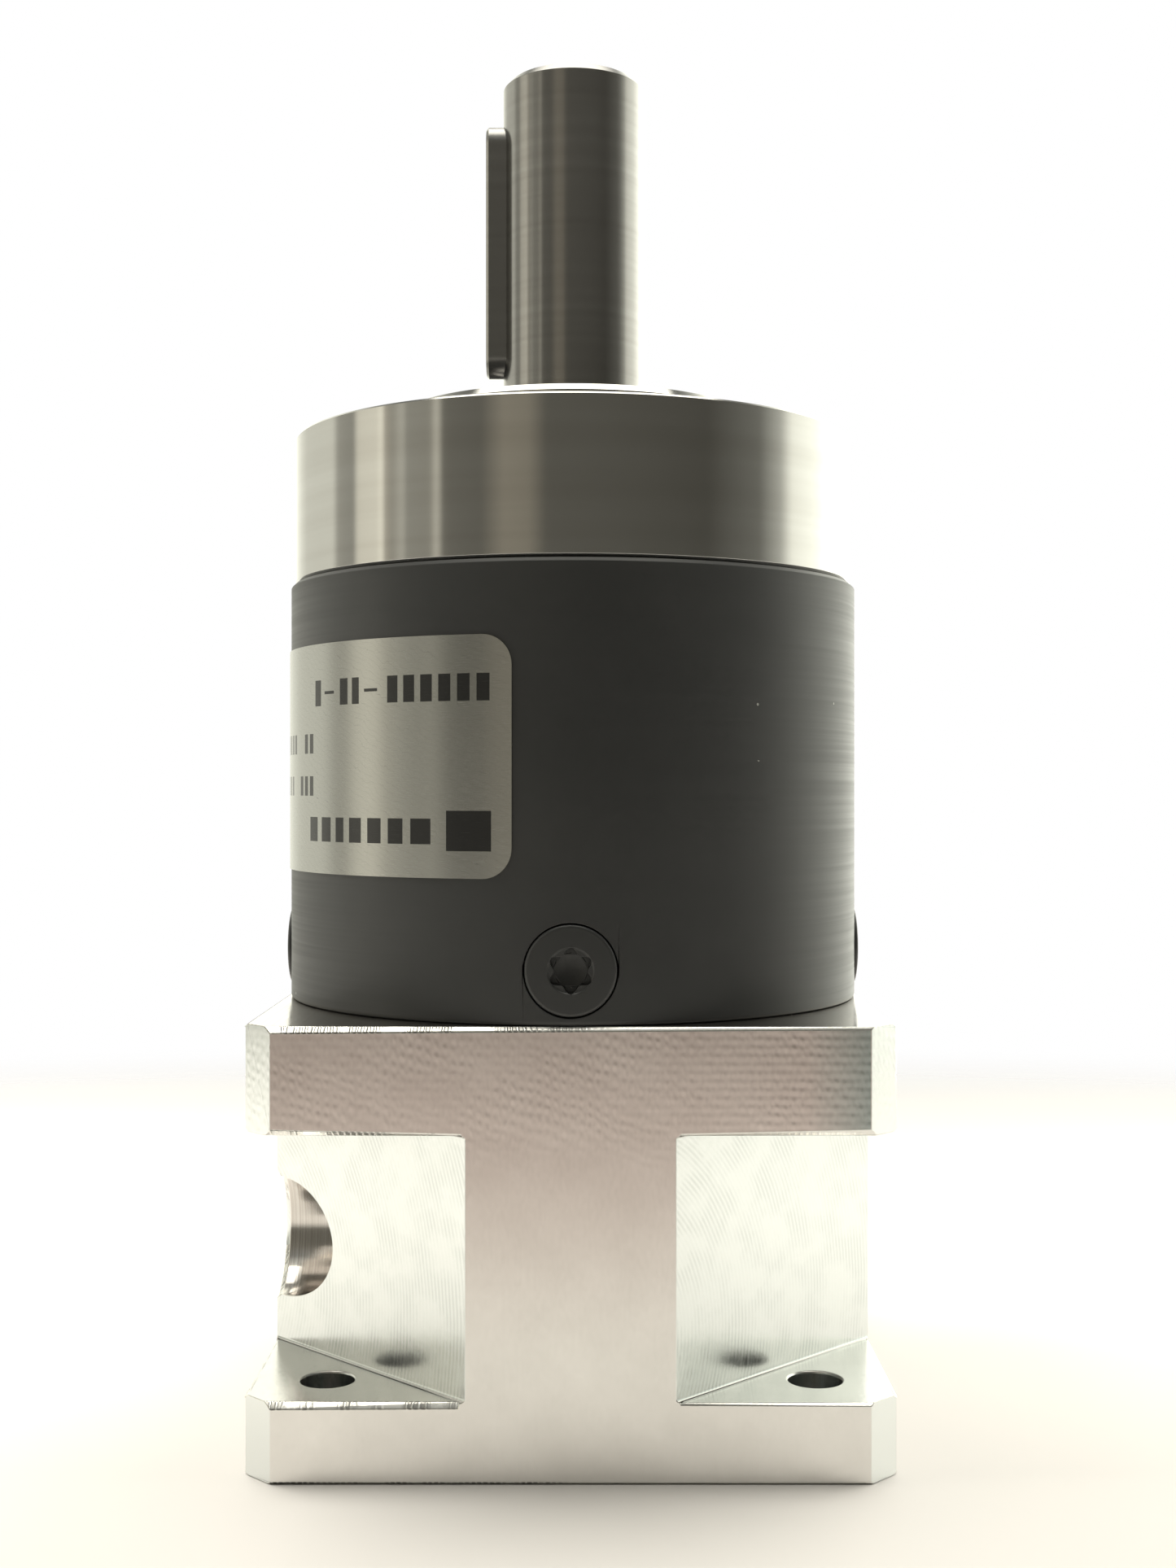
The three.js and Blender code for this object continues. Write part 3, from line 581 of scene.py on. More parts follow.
def silver_foil():
    """Satin foil with a blank rating print: plain bars where lines of print would be."""
    s = Shader("silver_foil")
    flat, u, v = s.face_map()
    grain = s.noise(s.stretched((0.8, 60.0, 1.0), flat), 1.0, 4.0, 0.6)
    speckle = s.noise(flat, 26.0, 2.0, 0.6)
    scratch = s.node("ShaderNodeTexWave", wave_type="BANDS", bands_direction="X")
    s.put(scratch.inputs["Vector"], s.stretched((0.16, 0.16, 0.16), flat, (0, 0, 1.1)))
    scratch.inputs["Distortion"].default_value = 9.0
    scratch.inputs["Detail"].default_value = 3.0
    scuffs = s.math("GREATER_THAN", scratch.outputs["Fac"], 0.9985)
    ink = None
    for u0, u1, v0, v1 in LABEL_BARS:
        inside_u = s.math("COMPARE", u, (u0 + u1) / 2, (u1 - u0) / 2)
        inside_v = s.math("COMPARE", v, (v0 + v1) / 2, (v1 - v0) / 2)
        bar = s.math("MULTIPLY", inside_u, inside_v)
        ink = bar if ink is None else s.math("MAXIMUM", ink, bar)
    foil = s.blend(s.ranged(speckle, 0.3, 0.7), (0.46, 0.46, 0.44), (0.54, 0.54, 0.515))
    foil = s.blend(s.math("MULTIPLY", scuffs, 0.6), foil, (0.2, 0.2, 0.2))
    return s.surface(
        Base_Color=s.blend(ink, foil, (0.02, 0.02, 0.02)),
        Metallic=s.math("SUBTRACT", 1.0, ink),
        Roughness=s.ranged(grain, 0.3, 0.7, 0.22, 0.28),
        Normal=s.bump(grain, 0.3, 4e-7),
    )


def nitrile_rubber():
    """Moulded seal rubber."""
    s = Shader("nitrile_rubber")
    grain = s.noise(s.place, 900.0, 3.0)
    return s.surface(
        Base_Color=s.blend(grain, (0.012, 0.012, 0.012), (0.03, 0.03, 0.03)),
        Roughness=s.ranged(grain, 0.3, 0.7, 0.5, 0.75),
        Normal=s.bump(grain, 0.3, 1e-5),
    )


def print_line(right, bottom, top, widths, gap):
    """Plain blocks in a row from right to left, as (near, far, bottom, top) along the label."""
    blocks = []
    for width in widths:
        blocks.append((right, right + width, bottom, top))
        right += width + gap
    return blocks


LABEL_WIDTH = 42.0
LABEL_BARS = [
    *print_line(1.4, 11.0, 12.7, (0.85,) * 6, 0.45),
    *print_line(9.6, 11.75, 11.95, (1.2,), 0.3),
    *print_line(11.3, 11.0, 12.7, (0.7, 0.85), 0.45),
    *print_line(14.0, 11.75, 11.95, (1.2,), 0.3),
    *print_line(15.7, 11.0, 12.7, (0.85,), 0.45),
    *print_line(16.9, 7.9, 9.2, (0.6, 0.6), 0.35),
    *print_line(20.4, 7.9, 9.2, (0.6,) * 5, 0.35),
    *print_line(16.9, 5.1, 6.4, (0.6,) * 3, 0.35),
    *print_line(21.4, 5.1, 6.4, (0.6,) * 7, 0.35),
    *print_line(1.3, 1.7, 4.2, (3.0,), 0.4),
    *print_line(5.4, 2.1, 3.7, (1.5, 1.2, 1.2, 1.2, 0.9, 1.2, 1.2), 0.6),
]

MATERIALS = {
    "milled_aluminium": milled_aluminium(),
    "milled_edge": milled_edge(),
    "bored_aluminium": bored_aluminium(),
    "black_oxide_steel": black_oxide("black_oxide_steel", (0.38, 0.47)),
    "turned_steel": turned_metal(
        "turned_steel", (0.55, 0.54, 0.52), (0.62, 0.615, 0.60), (0.11, 0.17)),
    "ground_steel": turned_metal(
        "ground_steel", (0.33, 0.32, 0.31), (0.39, 0.385, 0.375), (0.18, 0.26), lines=7000.0),
    "gear_steel": turned_metal(
        "gear_steel", (0.40, 0.39, 0.38), (0.50, 0.49, 0.48), (0.25, 0.4)),
    "bearing_steel": turned_metal(
        "bearing_steel", (0.62, 0.62, 0.62), (0.70, 0.70, 0.70), (0.08, 0.16), lines=9000.0, line_depth=1e-7),
    "spring_steel": turned_metal(
        "spring_steel", (0.05, 0.05, 0.052), (0.09, 0.09, 0.092), (0.35, 0.5), lines=2500.0, line_depth=4e-7,
        metallic=0.7),
    "black_screw_steel": black_oxide("black_screw_steel", (0.28, 0.42)),
    "silver_foil": silver_foil(),
    "nitrile_rubber": nitrile_rubber(),
}


# ---------------------------------------------------------------- gear teeth

def involute(angle):
    return math.tan(angle) - angle


def teeth_outline(teeth, root_depth, tip_height, play, first_tooth, steps=7):
    """Involute teeth round Z.

    Depth and height are in modules from the pitch circle, and play widens each tooth.
    """
    pitch = GEAR_MODULE * teeth / 2
    base = pitch * math.cos(PRESSURE_ANGLE)
    root = pitch - root_depth * GEAR_MODULE
    tip = pitch + tip_height * GEAR_MODULE
    thickness = math.pi * GEAR_MODULE / 2 + play
    radii = [root + (tip - root) * i / steps for i in range(steps + 1)]
    half = [thickness / 2 / pitch + involute(PRESSURE_ANGLE) - involute(math.acos(min(1, base / r)))
            for r in radii]
    outline = []
    for tooth in range(teeth):
        centre = first_tooth + TURN * tooth / teeth
        outline += [polar(r, centre - h) for r, h in zip(radii, half)]
        outline += [polar(r, centre + h) for r, h in zip(reversed(radii), reversed(half))]
    return outline


SUN_TEETH = teeth_outline(12, 1.25, 1.0, -BACKLASH, math.pi / 12)
PLANET_TEETH = teeth_outline(18, 1.25, 0.85, -BACKLASH, 0.0)
RING_SPACES = teeth_outline(48, 0.8, 1.25, BACKLASH, 0.0)


# ---------------------------------------------------------------- housing pieces

def chamfered_square(half, chamfer):
    c = half - chamfer
    return [(half, -c), (half, c), (c, half), (-c, half), (-half, c), (-half, -c), (-c, -half), (c, -half)]


def edge_cutter(x0, x1, edge_y, edge_z, depth0, depth1, up):
    """A block that takes a 45 degree chamfer off a level edge along X, from depth0 at x0 to depth1 at x1."""
    bm = bmesh.new()
    corners = []
    outside = edge_y - 2
    over = edge_z + 0.03 * up
    for x, depth in ((x0, depth0), (x1, depth1)):
        foot = edge_z - up * depth
        back = edge_y + depth
        for y, z in ((back, edge_z), (edge_y, foot), (outside, foot), (outside, over), (back, over)):
            corners.append(bm.verts.new((x, y, z)))
    one, two = corners[:5], corners[5:]
    bm.faces.new(one)
    bm.faces.new(two)
    for i in range(5):
        j = (i + 1) % 5
        bm.faces.new((one[i], one[j], two[j], two[i]))
    bmesh.ops.triangulate(bm, faces=bm.faces)
    bmesh.ops.recalc_face_normals(bm, faces=bm.faces)
    return as_object(bm)


def adapter_edge_cutters():
    """Cutters that break the level edges of the adapter's four sides, most of all on the front."""
    end = ADAPTER_HALF - 0.8
    left = -FLAT_HALF - 0.25
    right = FLAT_HALF + 0.25
    under = ADAPTER_TOP - TOP_FLANGE
    tools = []
    for turn in range(4):
        worn = 0.4 if turn == 0 else 0.2
        for x0, x1, z, depth0, depth1, up in (
            (-end, end, ADAPTER_TOP, worn, 0.16, 1),
            (-end, -FLAT_HALF - 0.4, BASE_FLANGE, worn, worn - 0.06, 1),
            (right, end, BASE_FLANGE, 0.14, 0.2, 1),
            (-end, left, under, worn, 0.12, -1),
            (right, end, under, 0.12, worn, -1),
            (-end, end, 0, 0.15, 0.15, -1),
        ):
            tools.append(spun(edge_cutter(x0, x1, -ADAPTER_HALF, z, depth0, depth1, up), 90 * turn))
    return tools


def pocket_cutter():
    """One of the four milled corner pockets, with the small round of the cutter at its foot and top."""
    offset = ADAPTER_HALF + FLAT_HALF
    reach = ADAPTER_HALF + 4
    outline = [(reach, offset - reach), (reach, reach), (offset - reach, reach)]
    block = prism(outline, BASE_FLANGE, ADAPTER_TOP - TOP_FLANGE)
    bm = bmesh.new()
    bm.from_mesh(block.data)
    inner = [e for e in bm.edges
             if all(abs(v.co.x + v.co.y - offset) < 1e-4 for v in e.verts)
             and abs(e.verts[0].co.z - e.verts[1].co.z) < 1e-6]
    bmesh.ops.bevel(bm, geom=inner, offset=0.24, segments=4, affect="EDGES", profile=0.5)
    bm.to_mesh(block.data)
    bm.free()
    return block


def adapter_face_finish(face):
    """The material slot of one face of the adapter: 0 milled, 1 a milled edge, 2 bored."""
    x, y, z = face.center
    from_hole = math.hypot(y - ACCESS_Y, z - ACCESS_Z)
    in_hole = x < -9 and from_hole < 4.45 and abs(face.normal.x) < 0.5
    in_bore = math.hypot(x, y) < SEAT_GROOVE + 0.1
    if in_hole or in_bore:
        return 2
    steep = 0.25 < abs(face.normal.z) < 0.95
    outside = max(abs(x), abs(y)) > ADAPTER_HALF - 1 and z < ADAPTER_TOP + 0.1
    return 1 if steep and outside else 0


def motor_adapter():
    bearing = low("input_bearing_outer_race").z
    groove = 24.4
    block = prism(chamfered_square(ADAPTER_HALF, CORNER_CHAMFER), 0, ADAPTER_TOP)
    spigot = lathe([
        (0, ADAPTER_TOP - 1), (SPIGOT_RADIUS, ADAPTER_TOP - 1), (SPIGOT_RADIUS, SPIGOT_TOP, 0.3),
        (0, SPIGOT_TOP),
    ])
    bore = lathe([
        (0, -PAST), (PILOT_RADIUS + 0.3, -PAST), (PILOT_RADIUS + 0.3, 0), (PILOT_RADIUS, 0.3),
        (PILOT_RADIUS, SHOULDER_Z), (SHOULDER_RADIUS, SHOULDER_Z), (SHOULDER_RADIUS, bearing),
        (BEARING_SEAT, bearing), (BEARING_SEAT, groove), (SEAT_GROOVE, groove),
        (SEAT_GROOVE, groove + GROOVE_WIDTH), (BEARING_SEAT, groove + GROOVE_WIDTH),
        (BEARING_SEAT, SPIGOT_TOP + PAST), (0, SPIGOT_TOP + PAST),
    ])
    motor_hole = shifted(drill(1.7, -PAST, BASE_FLANGE, 0.12), MOTOR_HOLE, MOTOR_HOLE)
    screw_hole = shifted(spun(drill(1.5, 11, 20), 90, "Y"), z=SCREW_Z)
    mouth = ADAPTER_HALF - 0.35
    past = ADAPTER_HALF + 0.35
    access = spun(lathe([(0, 9), (4, 9), (4, mouth), (4.7, past), (0, past)], 96), -90, "Y")
    access = shifted(access, y=ACCESS_Y, z=ACCESS_Z)
    edges = adapter_edge_cutters()
    block = cut(joined(block, spigot), *spun_copies(pocket_cutter(), 4), bore, access,
                *spun_copies(motor_hole, 4), *spun_copies(screw_hole, 4), *edges)
    smooth(edge_rounded(block, 0.05, 1))
    planar_map(block)
    for name in ("milled_aluminium", "milled_edge", "bored_aluminium"):
        block.data.materials.append(MATERIALS[name])
    for face in block.data.polygons:
        face.material_index = adapter_face_finish(face)
    return block


def ring_gear_housing():
    teeth_low = BODY_LOW + 7.4
    teeth_high = BODY_TOP - 7.4
    body = lathe([
        (0, BODY_LOW), (BODY_RADIUS, BODY_LOW, 0.25), (BODY_RADIUS, SCREW_Z - 3.1),
        (BODY_RADIUS, SCREW_Z + 3.1), (BODY_RADIUS, BODY_TOP - 0.24, 0.1),
        (BODY_RADIUS - 0.24, BODY_TOP, 0.05), (0, BODY_TOP),
    ], 256)
    lower = lathe([
        (0, BODY_LOW - PAST), (17.2, BODY_LOW - PAST), (16.9, BODY_LOW + 0.3), (16.9, teeth_low),
        (0, teeth_low),
    ])
    upper = rod(17.2, teeth_high, BODY_TOP + PAST, SEGMENTS)
    pocket = rod(2.93, 18.25, 21, 64)
    hole = drill(1.6, 15, 20)
    pockets = [shifted(spun(spun(copy_of(tool), 90, "Y"), 90 * i), z=SCREW_Z)
               for i in range(4) for tool in (pocket, hole)]
    bpy.data.objects.remove(pocket)
    bpy.data.objects.remove(hole)
    cut(body, lower, prism(RING_SPACES, teeth_low - PAST, teeth_high + PAST), upper, *pockets)
    return smooth(edge_rounded(body, 0.06))


def output_flange():
    rear = low("rear_bearing_outer_race").z
    front_top = high("front_bearing_outer_race").z
    seal = low("shaft_seal").z - 0.05
    body = lathe([
        (17.15, FLANGE_LOW, 0.2), (17.15, BODY_TOP), (FLANGE_RADIUS - 0.24, BODY_TOP, 0.04),
        (FLANGE_RADIUS, BODY_TOP + 0.24, 0.05), (FLANGE_RADIUS, FLANGE_FACE - 0.12),
        (FLANGE_RADIUS - 0.12, FLANGE_FACE), (13.3, FLANGE_FACE), (13.3, FLANGE_FACE - 0.2),
        (13, FLANGE_FACE - 0.2), (13, FLANGE_SPIGOT_TOP - 0.45, 0.04), (12.55, FLANGE_SPIGOT_TOP, 0.04),
        (11.05, FLANGE_SPIGOT_TOP, 0.15), (11.05, seal), (9.6, seal), (9.6, front_top),
        (BEARING_SEAT, front_top), (BEARING_SEAT, rear), (SEAT_GROOVE, rear),
        (SEAT_GROOVE, rear - GROOVE_WIDTH), (BEARING_SEAT, rear - GROOVE_WIDTH),
        (BEARING_SEAT, FLANGE_LOW, 0.2),
    ], 256)
    hole = shifted(drill(1.65, FLANGE_FACE - 8, FLANGE_FACE, 0.25), 17)
    cut(body, *spun_copies(hole, 4, 45))
    return smooth(body)


def lobed(outer, inner, lobes=6, steps=10):
    """A six-lobe recess: a wavy circle between two radii."""
    middle, swing = (outer + inner) / 2, (outer - inner) / 2
    count = lobes * steps
    return [polar(middle + swing * math.cos(TURN * i / steps), TURN * i / count) for i in range(count)]


def housing_screw():
    """A low-headed screw along Z, with the face of its head at z = 0."""
    body = lathe([
        (0, -6.8), (1.2, -6.8), (1.42, -6.5), (1.42, -1.8), (2.85, -1.8, 0.1), (2.85, 0, 0.22), (0, 0),
    ], 96)
    recess = prism(lobed(1.42, 1.04), -0.75, 0.5)
    drilled = lathe([(0, -1.35), (1.12, -0.72), (1.12, -0.4), (0, -0.4)], 48)
    mouth = lathe([(0, -0.1), (1.36, -0.1), (1.56, 0.1), (0, 0.1)], 64)
    return smooth(edge_rounded(cut(body, recess, drilled, mouth), 0.03))


def rating_label():
    """A thin foil on the body, from its right edge at the front round to the back of the left side."""
    inner, outer = 20.02, 20.1
    first = math.radians(259.6)
    corner = 1.9
    bottom = low("rating_label").z
    height = high("rating_label").z - bottom
    stations = []
    for i in range(13):
        turn = math.pi / 2 * i / 12
        stations.append((corner * (1 - math.cos(turn)), corner * (1 - math.sin(turn))))
    middle = [(corner + (LABEL_WIDTH - 2 * corner) * i / 60, 0.0) for i in range(1, 60)]
    far = [(LABEL_WIDTH - along, inset) for along, inset in reversed(stations)]
    stations = stations + middle + far
    bm = bmesh.new()
    uv = bm.loops.layers.uv.new("face_mm")
    place = {}
    sections = []
    for along, inset in stations:
        angle = first - along / outer
        section = []
        for radius, z in ((outer, inset), (outer, height - inset), (inner, height - inset), (inner, inset)):
            vert = bm.verts.new((*polar(radius, angle), bottom + z))
            place[vert] = (along, z)
            section.append(vert)
        sections.append(section)
    for one, two in zip(sections, sections[1:]):
        for side in range(4):
            bm.faces.new((one[side], one[(side + 1) % 4], two[(side + 1) % 4], two[side]))
    bm.faces.new(sections[0])
    bm.faces.new(sections[-1])
    bmesh.ops.recalc_face_normals(bm, faces=bm.faces)
    for face in bm.faces:
        for loop in face.loops:
            loop[uv].uv = place[loop.vert]
    return smooth(as_object(bm))


def shaft_seal():
    """A rubber ring with a dished face and a lip that stands just off the shaft."""
    z = low("shaft_seal").z
    top = high("shaft_seal").z
    return smooth(lathe([
        (6.1, z + 1.9, 0.1), (7.4, z, 0.2), (11, z, 0.2), (11, top, 0.3), (10, top, 0.2),
        (9.6, top - 0.35, 0.1), (7.6, top - 1.2, 0.4), (6.5, top - 0.2, 0.15), (6.1, top - 0.25, 0.05),
    ]))


# ---------------------------------------------------------------- bearings and rings

def race(land, far, z):
    """A bearing race with a round ball groove. The land is its edge on the ball side."""
    sign = 1 if far > land else -1
    top = z + BEARING_WIDTH
    middle = z + BEARING_WIDTH / 2
    groove = BALL_RADIUS + 0.08
    reach = abs(BALL_PITCH - land)
    half = math.sqrt(groove ** 2 - reach ** 2)
    arc = []
    start = math.atan2(-half, reach)
    for i in range(13):
        angle = start - 2 * start * i / 12
        arc.append((BALL_PITCH + sign * groove * math.cos(angle), middle + groove * math.sin(angle)))
    return smooth(lathe([(far, z, 0.3), (land, z, 0.1), *arc, (land, top, 0.1), (far, top, 0.3)]))


def ball_cage(z):
    """A ribbon cage with its balls, joined in one piece."""
    middle = z + BEARING_WIDTH / 2
    inner, outer = BALL_PITCH - 0.5, BALL_PITCH + 0.5
    z0, z1 = middle - 1.1, middle + 1.1
    cage = lathe([(inner, z0, 0.1), (outer, z0, 0.1), (outer, z1, 0.1), (inner, z1, 0.1)], 144)
    rows = 16
    ball = lathe([polar(BALL_RADIUS, math.pi * (i / rows - 0.5)) for i in range(rows + 1)], 32)
    balls = spun_copies(shifted(ball, BALL_PITCH, 0, middle), BALLS)
    return smooth(joined(cage, *balls))


def sleeve(inner, outer, z0, z1, fillet, segments):
    """A plain ring on Z with rounded edges."""
    return smooth(lathe([
        (inner, z0, fillet), (outer, z0, fillet), (outer, z1, fillet), (inner, z1, fillet),
    ], segments))


def spacer(node, inner, outer):
    return sleeve(inner, outer, low(node).z, high(node).z, 0.08, SEGMENTS)


def retaining_ring(node, inner, outer, ears_inside):
    """An open spring ring with an eyelet at each end of its gap."""
    z0, z1 = low(node).z, high(node).z
    ring = lathe([(inner, z0), (outer, z0), (outer, z1), (inner, z1)], 144)
    gap_half = 0.3
    gap = [(0, 0), polar(2 * outer, -gap_half), polar(2 * outer, gap_half)]
    cut(ring, prism(gap, z0 - PAST, z1 + PAST))
    ear_radius = 1.1
    eye_radius = 0.45
    orbit = inner + 0.55 if ears_inside else outer - 0.55
    for side in (-1, 1):
        place = polar(orbit, side * (gap_half + ear_radius / orbit * 0.7))
        ear = shifted(rod(ear_radius, z0, z1, 48), *place)
        eye = shifted(rod(eye_radius, z0 - PAST, z1 + PAST, 32), *place)
        cut(joined(ring, ear), eye)
    return smooth(ring)


# ---------------------------------------------------------------- output side

def round_ended_bar(width, length, x0, x1, chamfer=0.0):
    """A bar with round ends standing along Z, from x0 to x1."""
    half = width / 2
    lower = [polar(half, math.pi + math.pi * i / 16) for i in range(17)]
    upper = [polar(half, math.pi * i / 16) for i in range(17)]
    outline = [(x, y + half) for x, y in lower] + [(x, y + length - half) for x, y in upper]
    bar = prism(outline, x0, x1, chamfer)
    return moved(bar, Matrix(((0, 0, 1, 0), (1, 0, 0, 0), (0, 1, 0, 0), (0, 0, 0, 1))))


def planet_carrier_shaft():
    z = low("planet_carrier_shaft").z
    rear = low("rear_bearing_inner_race").z
    groove = high("front_bearing_inner_race").z
    key_z = low("shaft_key").z
    rim, disc_low, disc_high = 13.4, 46.8, 49.4
    shoulder = 69.2
    body = lathe([
        (0, disc_low), (rim, disc_low, 0.2), (rim, disc_high, 0.2), (7, disc_high), (7, rear, 0.15),
        (JOURNAL, rear), (JOURNAL, groove), (JOURNAL_GROOVE, groove), (JOURNAL_GROOVE, groove + GROOVE_WIDTH),
        (JOURNAL, groove + GROOVE_WIDTH), (JOURNAL, shoulder, 0.3), (SHAFT_RADIUS, shoulder, 0.2),
        (SHAFT_RADIUS, SHAFT_TOP - 0.5, 0.06), (SHAFT_RADIUS - 0.5, SHAFT_TOP, 0.06), (0, SHAFT_TOP),
    ])
    plate = lathe([(5.2, z, 0.2), (rim, z, 0.2), (rim, z + 2, 0.2), (5.2, z + 2, 0.2)])
    web = shifted(rod(2, z + 1, disc_low + 1, 64), 11)
    pin_hole = shifted(drill(2.03, z - PAST, disc_high + 1), ORBIT)
    seat = shifted(round_ended_bar(3.1, 18.1, -6.5, -3.15), z=key_z - 0.05)
    centre = lathe([
        (0, SHAFT_TOP - 9.6), (1.25, SHAFT_TOP - 9), (1.25, SHAFT_TOP - 1.1), (1.9, SHAFT_TOP - 0.1),
        (2.1, SHAFT_TOP), (2.1, SHAFT_TOP + PAST), (0, SHAFT_TOP + PAST),
    ], 96)
    joined(body, plate, *spun_copies(web, PLANETS, 60))
    cut(body, *spun_copies(pin_hole, PLANETS), seat, centre)
    return smooth(body)


def shaft_key():
    box_low, box_high = low("shaft_key"), high("shaft_key")
    bar = round_ended_bar(3, box_high.z - box_low.z, box_low.x, box_high.x, 0.18)
    return smooth(shifted(bar, z=box_low.z), 25)


def planet_gear():
    bore = lathe([(0, -1), (3.4, -1), (3, 0.2), (3, 7.8), (3.4, 9), (0, 9)], 96)
    return smooth(cut(prism(PLANET_TEETH, 0, 8), bore))


def planet_pin(height):
    radius = 1.98
    return smooth(lathe([(0, 0), (radius, 0, 0.25), (radius, height, 0.25), (0, height)], 96))


# ---------------------------------------------------------------- input side

def sun_gear_hub():
    z = low("sun_gear_hub").z
    top = high("sun_gear_hub").z
    bearing = low("input_bearing_inner_race").z
    groove = bearing + BEARING_WIDTH
    body = lathe([
        (0, z), (4.9, z, 0.25), (4.9, 16.6, 0.2), (7.2, 16.6, 0.2), (7.2, bearing, 0.15), (JOURNAL, bearing),
        (JOURNAL, groove), (JOURNAL_GROOVE, groove), (JOURNAL_GROOVE, groove + GROOVE_WIDTH),
        (JOURNAL, groove + GROOVE_WIDTH), (JOURNAL, 26.4, 0.4), (3, 28.6, 0.6), (3, top), (0, top),
    ])
    teeth = prism(SUN_TEETH, 37.4, top)
    bore = lathe([(0, z - PAST), (4.35, z - PAST), (4.35, z), (4, z + 0.35), (4, z + 19), (0, z + 21)])
    slots = []
    for turn in (45, -45):
        slot = prism([(-8, -0.5), (8, -0.5), (8, 0.5), (-8, 0.5)], z - PAST, 15.4)
        slots.append(spun(slot, turn))
    return smooth(cut(joined(body, teeth), bore, *slots))


def clamp_ring():
    z0, z1 = low("clamp_ring").z, high("clamp_ring").z
    middle = (z0 + z1) / 2
    inner, outer, past = 4.95, 10.2, 12
    ring = lathe([(inner, z0, 0.3), (outer, z0, 0.3), (outer, z1, 0.3), (inner, z1, 0.3)])
    slit = prism([(-0.6, -past), (0.6, -past), (0.6, -4), (-0.6, -4)], z0 - PAST, z1 + PAST)
    hole = shifted(spun(rod(1.3, -past, past, 64), 90, "Y"), y=ACCESS_Y, z=middle)
    head = shifted(spun(rod(2.25, 3.3, past, 64), -90, "Y"), y=ACCESS_Y, z=middle)
    return smooth(cut(ring, slit, hole, head))


def clamp_screw():
    head_x = low("clamp_screw").x
    middle = (low("clamp_screw").z + high("clamp_screw").z) / 2
    body = lathe([
        (0, 0), (2.2, 0, 0.25), (2.2, 2.15, 0.1), (1.2, 2.15), (1.2, 10.9), (0.95, 11.2), (0, 11.2),
    ], 64)
    socket = prism([polar(2 / math.sqrt(3), TURN * i / 6) for i in range(6)], -PAST, 1.2)
    screw = spun(smooth(cut(body, socket)), 90, "Y")
    return shifted(screw, head_x, ACCESS_Y, middle)


# ---------------------------------------------------------------- all pieces

adopt(motor_adapter(), "motor_adapter")
adopt(ring_gear_housing(), "ring_gear_housing")
adopt(output_flange(), "output_flange")
adopt(rating_label(), "rating_label")
adopt(shaft_seal(), "shaft_seal")

for i in range(4):
    screw = spun(shifted(housing_screw(), z=SCREW_FACE), 90, "Y")
    adopt(shifted(spun(screw, 90 * i - 90), z=SCREW_Z), f"housing_screw_{i + 1}")

for bearing in ("rear", "front", "input"):
    z = low(f"{bearing}_bearing_outer_race").z
    adopt(race(OUTER_LAND, BEARING_OUTER, z), f"{bearing}_bearing_outer_race")
    adopt(race(INNER_LAND, BEARING_BORE + 0.05, z), f"{bearing}_bearing_inner_race")
    adopt(ball_cage(z), f"{bearing}_bearing_ball_cage")

adopt(spacer("bearing_outer_spacer", OUTER_LAND, BEARING_OUTER), "bearing_outer_spacer")
adopt(spacer("bearing_inner_spacer", BEARING_BORE + 0.05, INNER_LAND), "bearing_inner_spacer")
for name in ("flange_retaining_ring", "adapter_retaining_ring"):
    adopt(retaining_ring(name, 10.65, 12.55, True), name)
for name in ("output_shaft_retaining_ring", "input_hub_retaining_ring"):
    adopt(retaining_ring(name, 5.45, 7.05, False), name)

adopt(planet_carrier_shaft(), "planet_carrier_shaft")
adopt(shaft_key(), "shaft_key")
adopt(sun_gear_hub(), "sun_gear_hub")
adopt(clamp_ring(), "clamp_ring")
adopt(clamp_screw(), "clamp_screw")

for i in range(PLANETS):
    made = {
        f"planet_gear_{i + 1}": planet_gear(),
        f"planet_needle_bearing_{i + 1}": sleeve(2.06, 2.95, 0, 8.0, 0.15, 96),
        f"planet_pin_{i + 1}": planet_pin(13.8),
        f"planet_lower_washer_{i + 1}": sleeve(2.03, 3.9, 0, 0.45, 0.05, 96),
        f"planet_upper_washer_{i + 1}": sleeve(2.03, 3.9, 0, 0.45, 0.05, 96),
    }
    for node, piece in made.items():
        adopt(spun(shifted(piece, ORBIT, 0, low(node).z), 120 * i), node)


# ---------------------------------------------------------------- studio

# Brightness round the object: degrees from straight ahead of it, positive to its right, level and blue.
DOME = [
    (-180, 1.6, 0.87), (-162, 1.3, 0.87), (-140, 0.84, 0.85), (-128, 0.86, 0.85), (-113, 0.9, 0.85),
    (-109, 0.46, 0.83), (-98, 0.38, 0.83), (-96, 0.95, 0.80), (-84, 1.0, 0.80), (-82, 1.4, 0.80),
    (-80, 0.5, 0.75), (-76, 0.42, 0.80), (-71, 0.65, 0.82), (-69, 0.38, 0.82), (-58, 0.36, 0.80),
    (-55, 0.75, 0.80), (-52, 0.2, 0.80), (-36, 0.17, 0.80), (-27, 0.33, 0.72), (-17, 0.3, 0.72),
    (-10, 0.14, 0.80), (55, 0.095, 0.80), (80, 0.21, 0.85), (92, 0.6, 0.87), (99, 1.4, 0.87),
    (115, 1.7, 0.88), (135, 2.5, 0.88), (155, 3.3, 0.88), (180, 3.3, 0.88),
]
PLAIN_BLUE = 0.87  # green falls half as far as blue does from this
ROOF_STARTS = 0.5  # the height on the dome, 0 level and 1 overhead, where its roof begins to show
ROOF_WHOLE = 0.8
ROOF = ((0.8, 0.22), (0.93, 0.6))  # height and level


